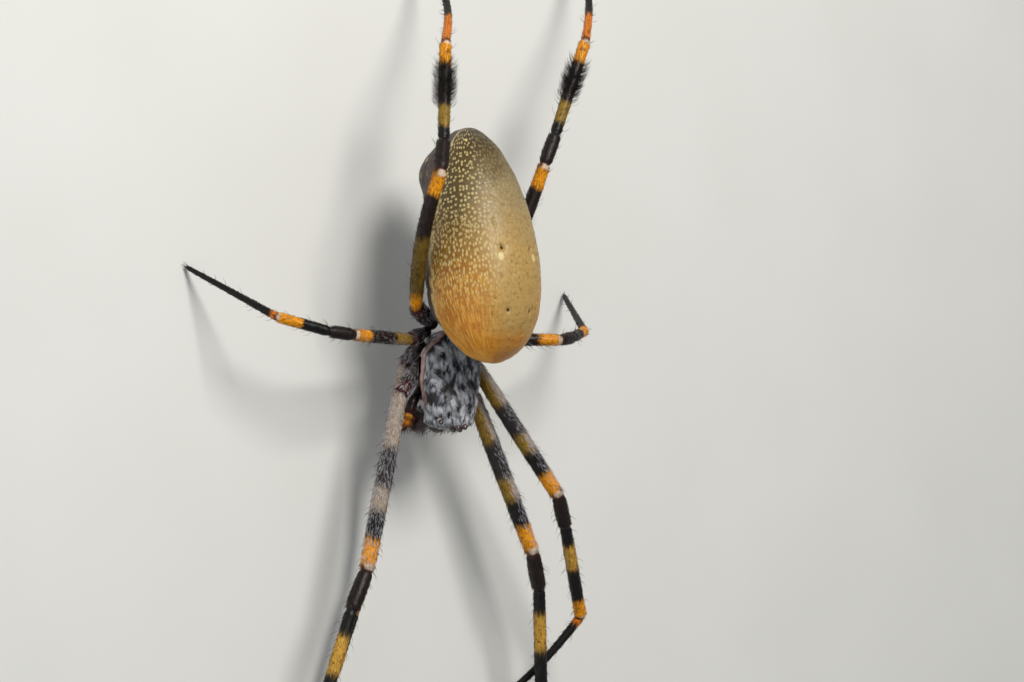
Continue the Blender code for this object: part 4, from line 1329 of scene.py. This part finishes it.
PALP_PLACES = (
    (2.3, 1.2, -1.9), (2.75, 1.9, -1.75), (3.5, 2.8, -1.5), (3.9, 3.8, -1.4), (4.0, 4.8, -1.6),
    (3.9, 5.5, -2.05), (3.7, 5.75, -2.55), (3.5, 5.75, -3.0),
)
PALP_RADII = (0.42, 0.44, 0.51, 0.45, 0.5, 0.46, 0.42, 0.24)
PALP_SIDES = 22
PALP_JOINTS = (0.16, 0.52, 0.64, 0.80)   # along the palp
PALP_BANDS = (
    (0.0, BROWN_BLACK), (0.40, BROWN_BLACK), (0.48, DARK_RED), (0.53, DARK_RED), (0.57, ORANGE),
    (0.75, DEEP_ORANGE), (0.80, DARK_RED), (0.92, BLACK), (1.0, BLACK),
)


def palp_finish(hair):
    finish = Finish("palp_hair" if hair else "palp_cuticle", Specular_IOR_Level=0.45)
    colour = finish.ramp(finish.attribute("along"), PALP_BANDS)
    if hair:
        finish.set(Base_Color=finish.mix(0.75, colour, BLACK), Roughness=0.5)
        return finish.material
    grain = finish.noise(10.0, detail=3.0)
    colour = finish.shade(finish.step(grain, 0.45, 0.8), colour, 0.5, 0.42, 0.38)
    return finish.set(Base_Color=colour, Normal=finish.bump(grain, 0.03, 0.5),
                      Roughness=finish.scaled(grain, 0.25, 0.28))


def make_palps():
    """The two palps with their joints, fuzz and longer bristles towards the tip."""
    skin, hair = palp_finish(False), palp_finish(True)
    draw = np.random.default_rng(61)
    steps = 130
    for outward, letter in ((-1, "R"), (1, "L")):
        places = np.array(PALP_PLACES) * (outward, 1, 1)
        knots = np.concatenate(([0], np.cumsum(np.linalg.norm(np.diff(places, axis=0), axis=1))))
        even = np.linspace(0, knots[-1], steps)
        path = np.stack([np.interp(even, knots, column) for column in places.T], -1)
        path[1:-1] = soften(path, 9)[1:-1]
        along = even / even[-1]
        radii = soften(np.interp(even, knots, PALP_RADII), 5) * SKIN_INSET
        for joint in PALP_JOINTS:
            away = (along - joint) * even[-1]
            lip = 0.05 * np.exp(-((np.abs(away) - 0.42) / 0.2) ** 2)
            radii *= 1 - 0.2 * np.exp(-(away / 0.16) ** 2) + lip
        radii[-4:] *= (0.95, 0.85, 0.6, 0.2)
        tube = Tube(prosoma_places(path), radii, PALP_SIDES)
        grid_piece(f"feeler_{letter}", tube.grid, skin, [f"palp_{letter}"],
                   {"along": np.repeat(along[:, None], PALP_SIDES, 1)})
        for kind, count, long, width, stance, seed in (("fuzz", 1700, 0.32, 0.028, 0.4, 62),
                                                       ("bristles", 260, 0.95, 0.042, 0.95, 63)):
            spots = tube.spots(count, draw, weight=None if kind == "fuzz" else
                               (lambda index: 0.15 + (index / steps) ** 2 * 2), start=0.12)
            here = np.interp(spots[0], np.arange(steps), along)
            shares = np.stack((here, (spots[1] / (2 * math.pi)) % 1.0), -1)
            make_coat(f"feeler_{kind}_{letter}", spots[2], spots[3],
                      spots[4] + draw.normal(0, 0.15, (count, 3)), long * draw.uniform(0.6, 1.2, count),
                      width, stance * draw.uniform(0.6, 1.2, count), 0.35, shares, hair, seed,
                      {"along": here})


def bristle_finish():
    finish = Finish("bristle", Roughness=0.4, Specular_IOR_Level=0.5)
    cloud = finish.noise(3.0, detail=1.0)
    return finish.set(Base_Color=finish.mix(cloud, tint(18, 12, 11), tint(52, 32, 24)))


# Floor, light and camera

FLOOR_HALF = 1.5                     # metres
KEY_SIZE, KEY_POWER = 120, 1.0       # millimetres and watts
FILL_SIZE, FILL_POWER = 260, 0.28
STUDIO_STRENGTH = 0.34


def make_floor():
    mesh = bpy.data.meshes.new("floor")
    corners = [(x * FLOOR_HALF, y * FLOOR_HALF, 0) for x, y in ((-1, -1), (1, -1), (1, 1), (-1, 1))]
    mesh.from_pydata(corners, [], [(0, 1, 2, 3)])
    finish = Finish("floor_paper", Roughness=0.85, Specular_IOR_Level=0.2)
    cloud = finish.noise(0.05, detail=2.0)
    mesh.materials.append(finish.set(Base_Color=finish.mix(cloud, tint(214, 213, 208), tint(222, 221, 217))))
    floor = bpy.data.objects.new("floor", mesh)
    bpy.context.scene.collection.objects.link(floor)


def picture_axes():
    """Right and up in the picture, and the way from the object to the camera."""
    right = Vector((math.cos(VIEW_TILT), 0, math.sin(VIEW_TILT)))
    up = Vector((0, 1, 0))
    return right, up, Vector((-math.sin(VIEW_TILT), 0, math.cos(VIEW_TILT)))


def make_camera():
    right, up, back = picture_axes()
    middle = BODY_CENTRE + right * VIEW_SHIFT[0] + up * VIEW_SHIFT[1]
    data = bpy.data.cameras.new("camera")
    data.sensor_width = 36.0
    data.lens = data.sensor_width * VIEW_DISTANCE * PIXELS_PER_MM / PICTURE_WIDTH
    data.clip_start = 0.01
    camera = bpy.data.objects.new("camera", data)
    camera.location = (middle + back * VIEW_DISTANCE) * MM
    camera.rotation_euler = (0, -VIEW_TILT, 0)
    bpy.context.scene.collection.objects.link(camera)
    bpy.context.scene.camera = camera


def make_light(name, place, size, power, colour=(1, 1, 1)):
    data = bpy.data.lights.new(name, "AREA")
    data.size = size * MM
    data.energy = power
    data.color = colour
    light = bpy.data.objects.new(name, data)
    light.location = Vector(place) * MM
    light.rotation_euler = (BODY_CENTRE - Vector(place)).to_track_quat("-Z", "Y").to_euler()
    bpy.context.scene.collection.objects.link(light)


def make_lights():
    world = bpy.context.scene.world or bpy.data.worlds.new("studio")
    bpy.context.scene.world = world
    world.use_nodes = True
    background = world.node_tree.nodes["Background"]
    background.inputs["Color"].default_value = (0.95, 0.98, 1.0, 1.0)
    background.inputs["Strength"].default_value = STUDIO_STRENGTH
    right, up, back = picture_axes()
    centre = BODY_CENTRE
    make_light("key", centre + right * 150 + up * 190 + back * 230, KEY_SIZE, KEY_POWER,
               (1.0, 0.98, 0.94))
    make_light("fill", centre - right * 190 - up * 60 + back * 260, FILL_SIZE, FILL_POWER,
               (0.86, 0.93, 1.0))
    bpy.context.scene.view_settings.view_transform = "Standard"


def main():
    bristle = bristle_finish()
    make_abdomen()
    make_spinnerets(bristle)
    make_pedicel()
    make_prosoma()
    make_eyes()
    make_mouthparts(chitin_finish("mouth", BROWN_BLACK, tint(110, 62, 36), 0.3))
    make_jaws(bristle)
    make_palps()
    finishes = {}
    for pair in LEG_LENGTHS:
        finishes["skin", pair] = leg_skin_finish(pair)
        finishes["hair", pair] = leg_hair_finish(pair)
    claw = chitin_finish("claw", BLACK, tint(60, 26, 16))
    for leg in POSE:
        make_leg(leg, finishes)
        make_claws(leg, claw)
    make_floor()
    make_camera()
    make_lights()


main()
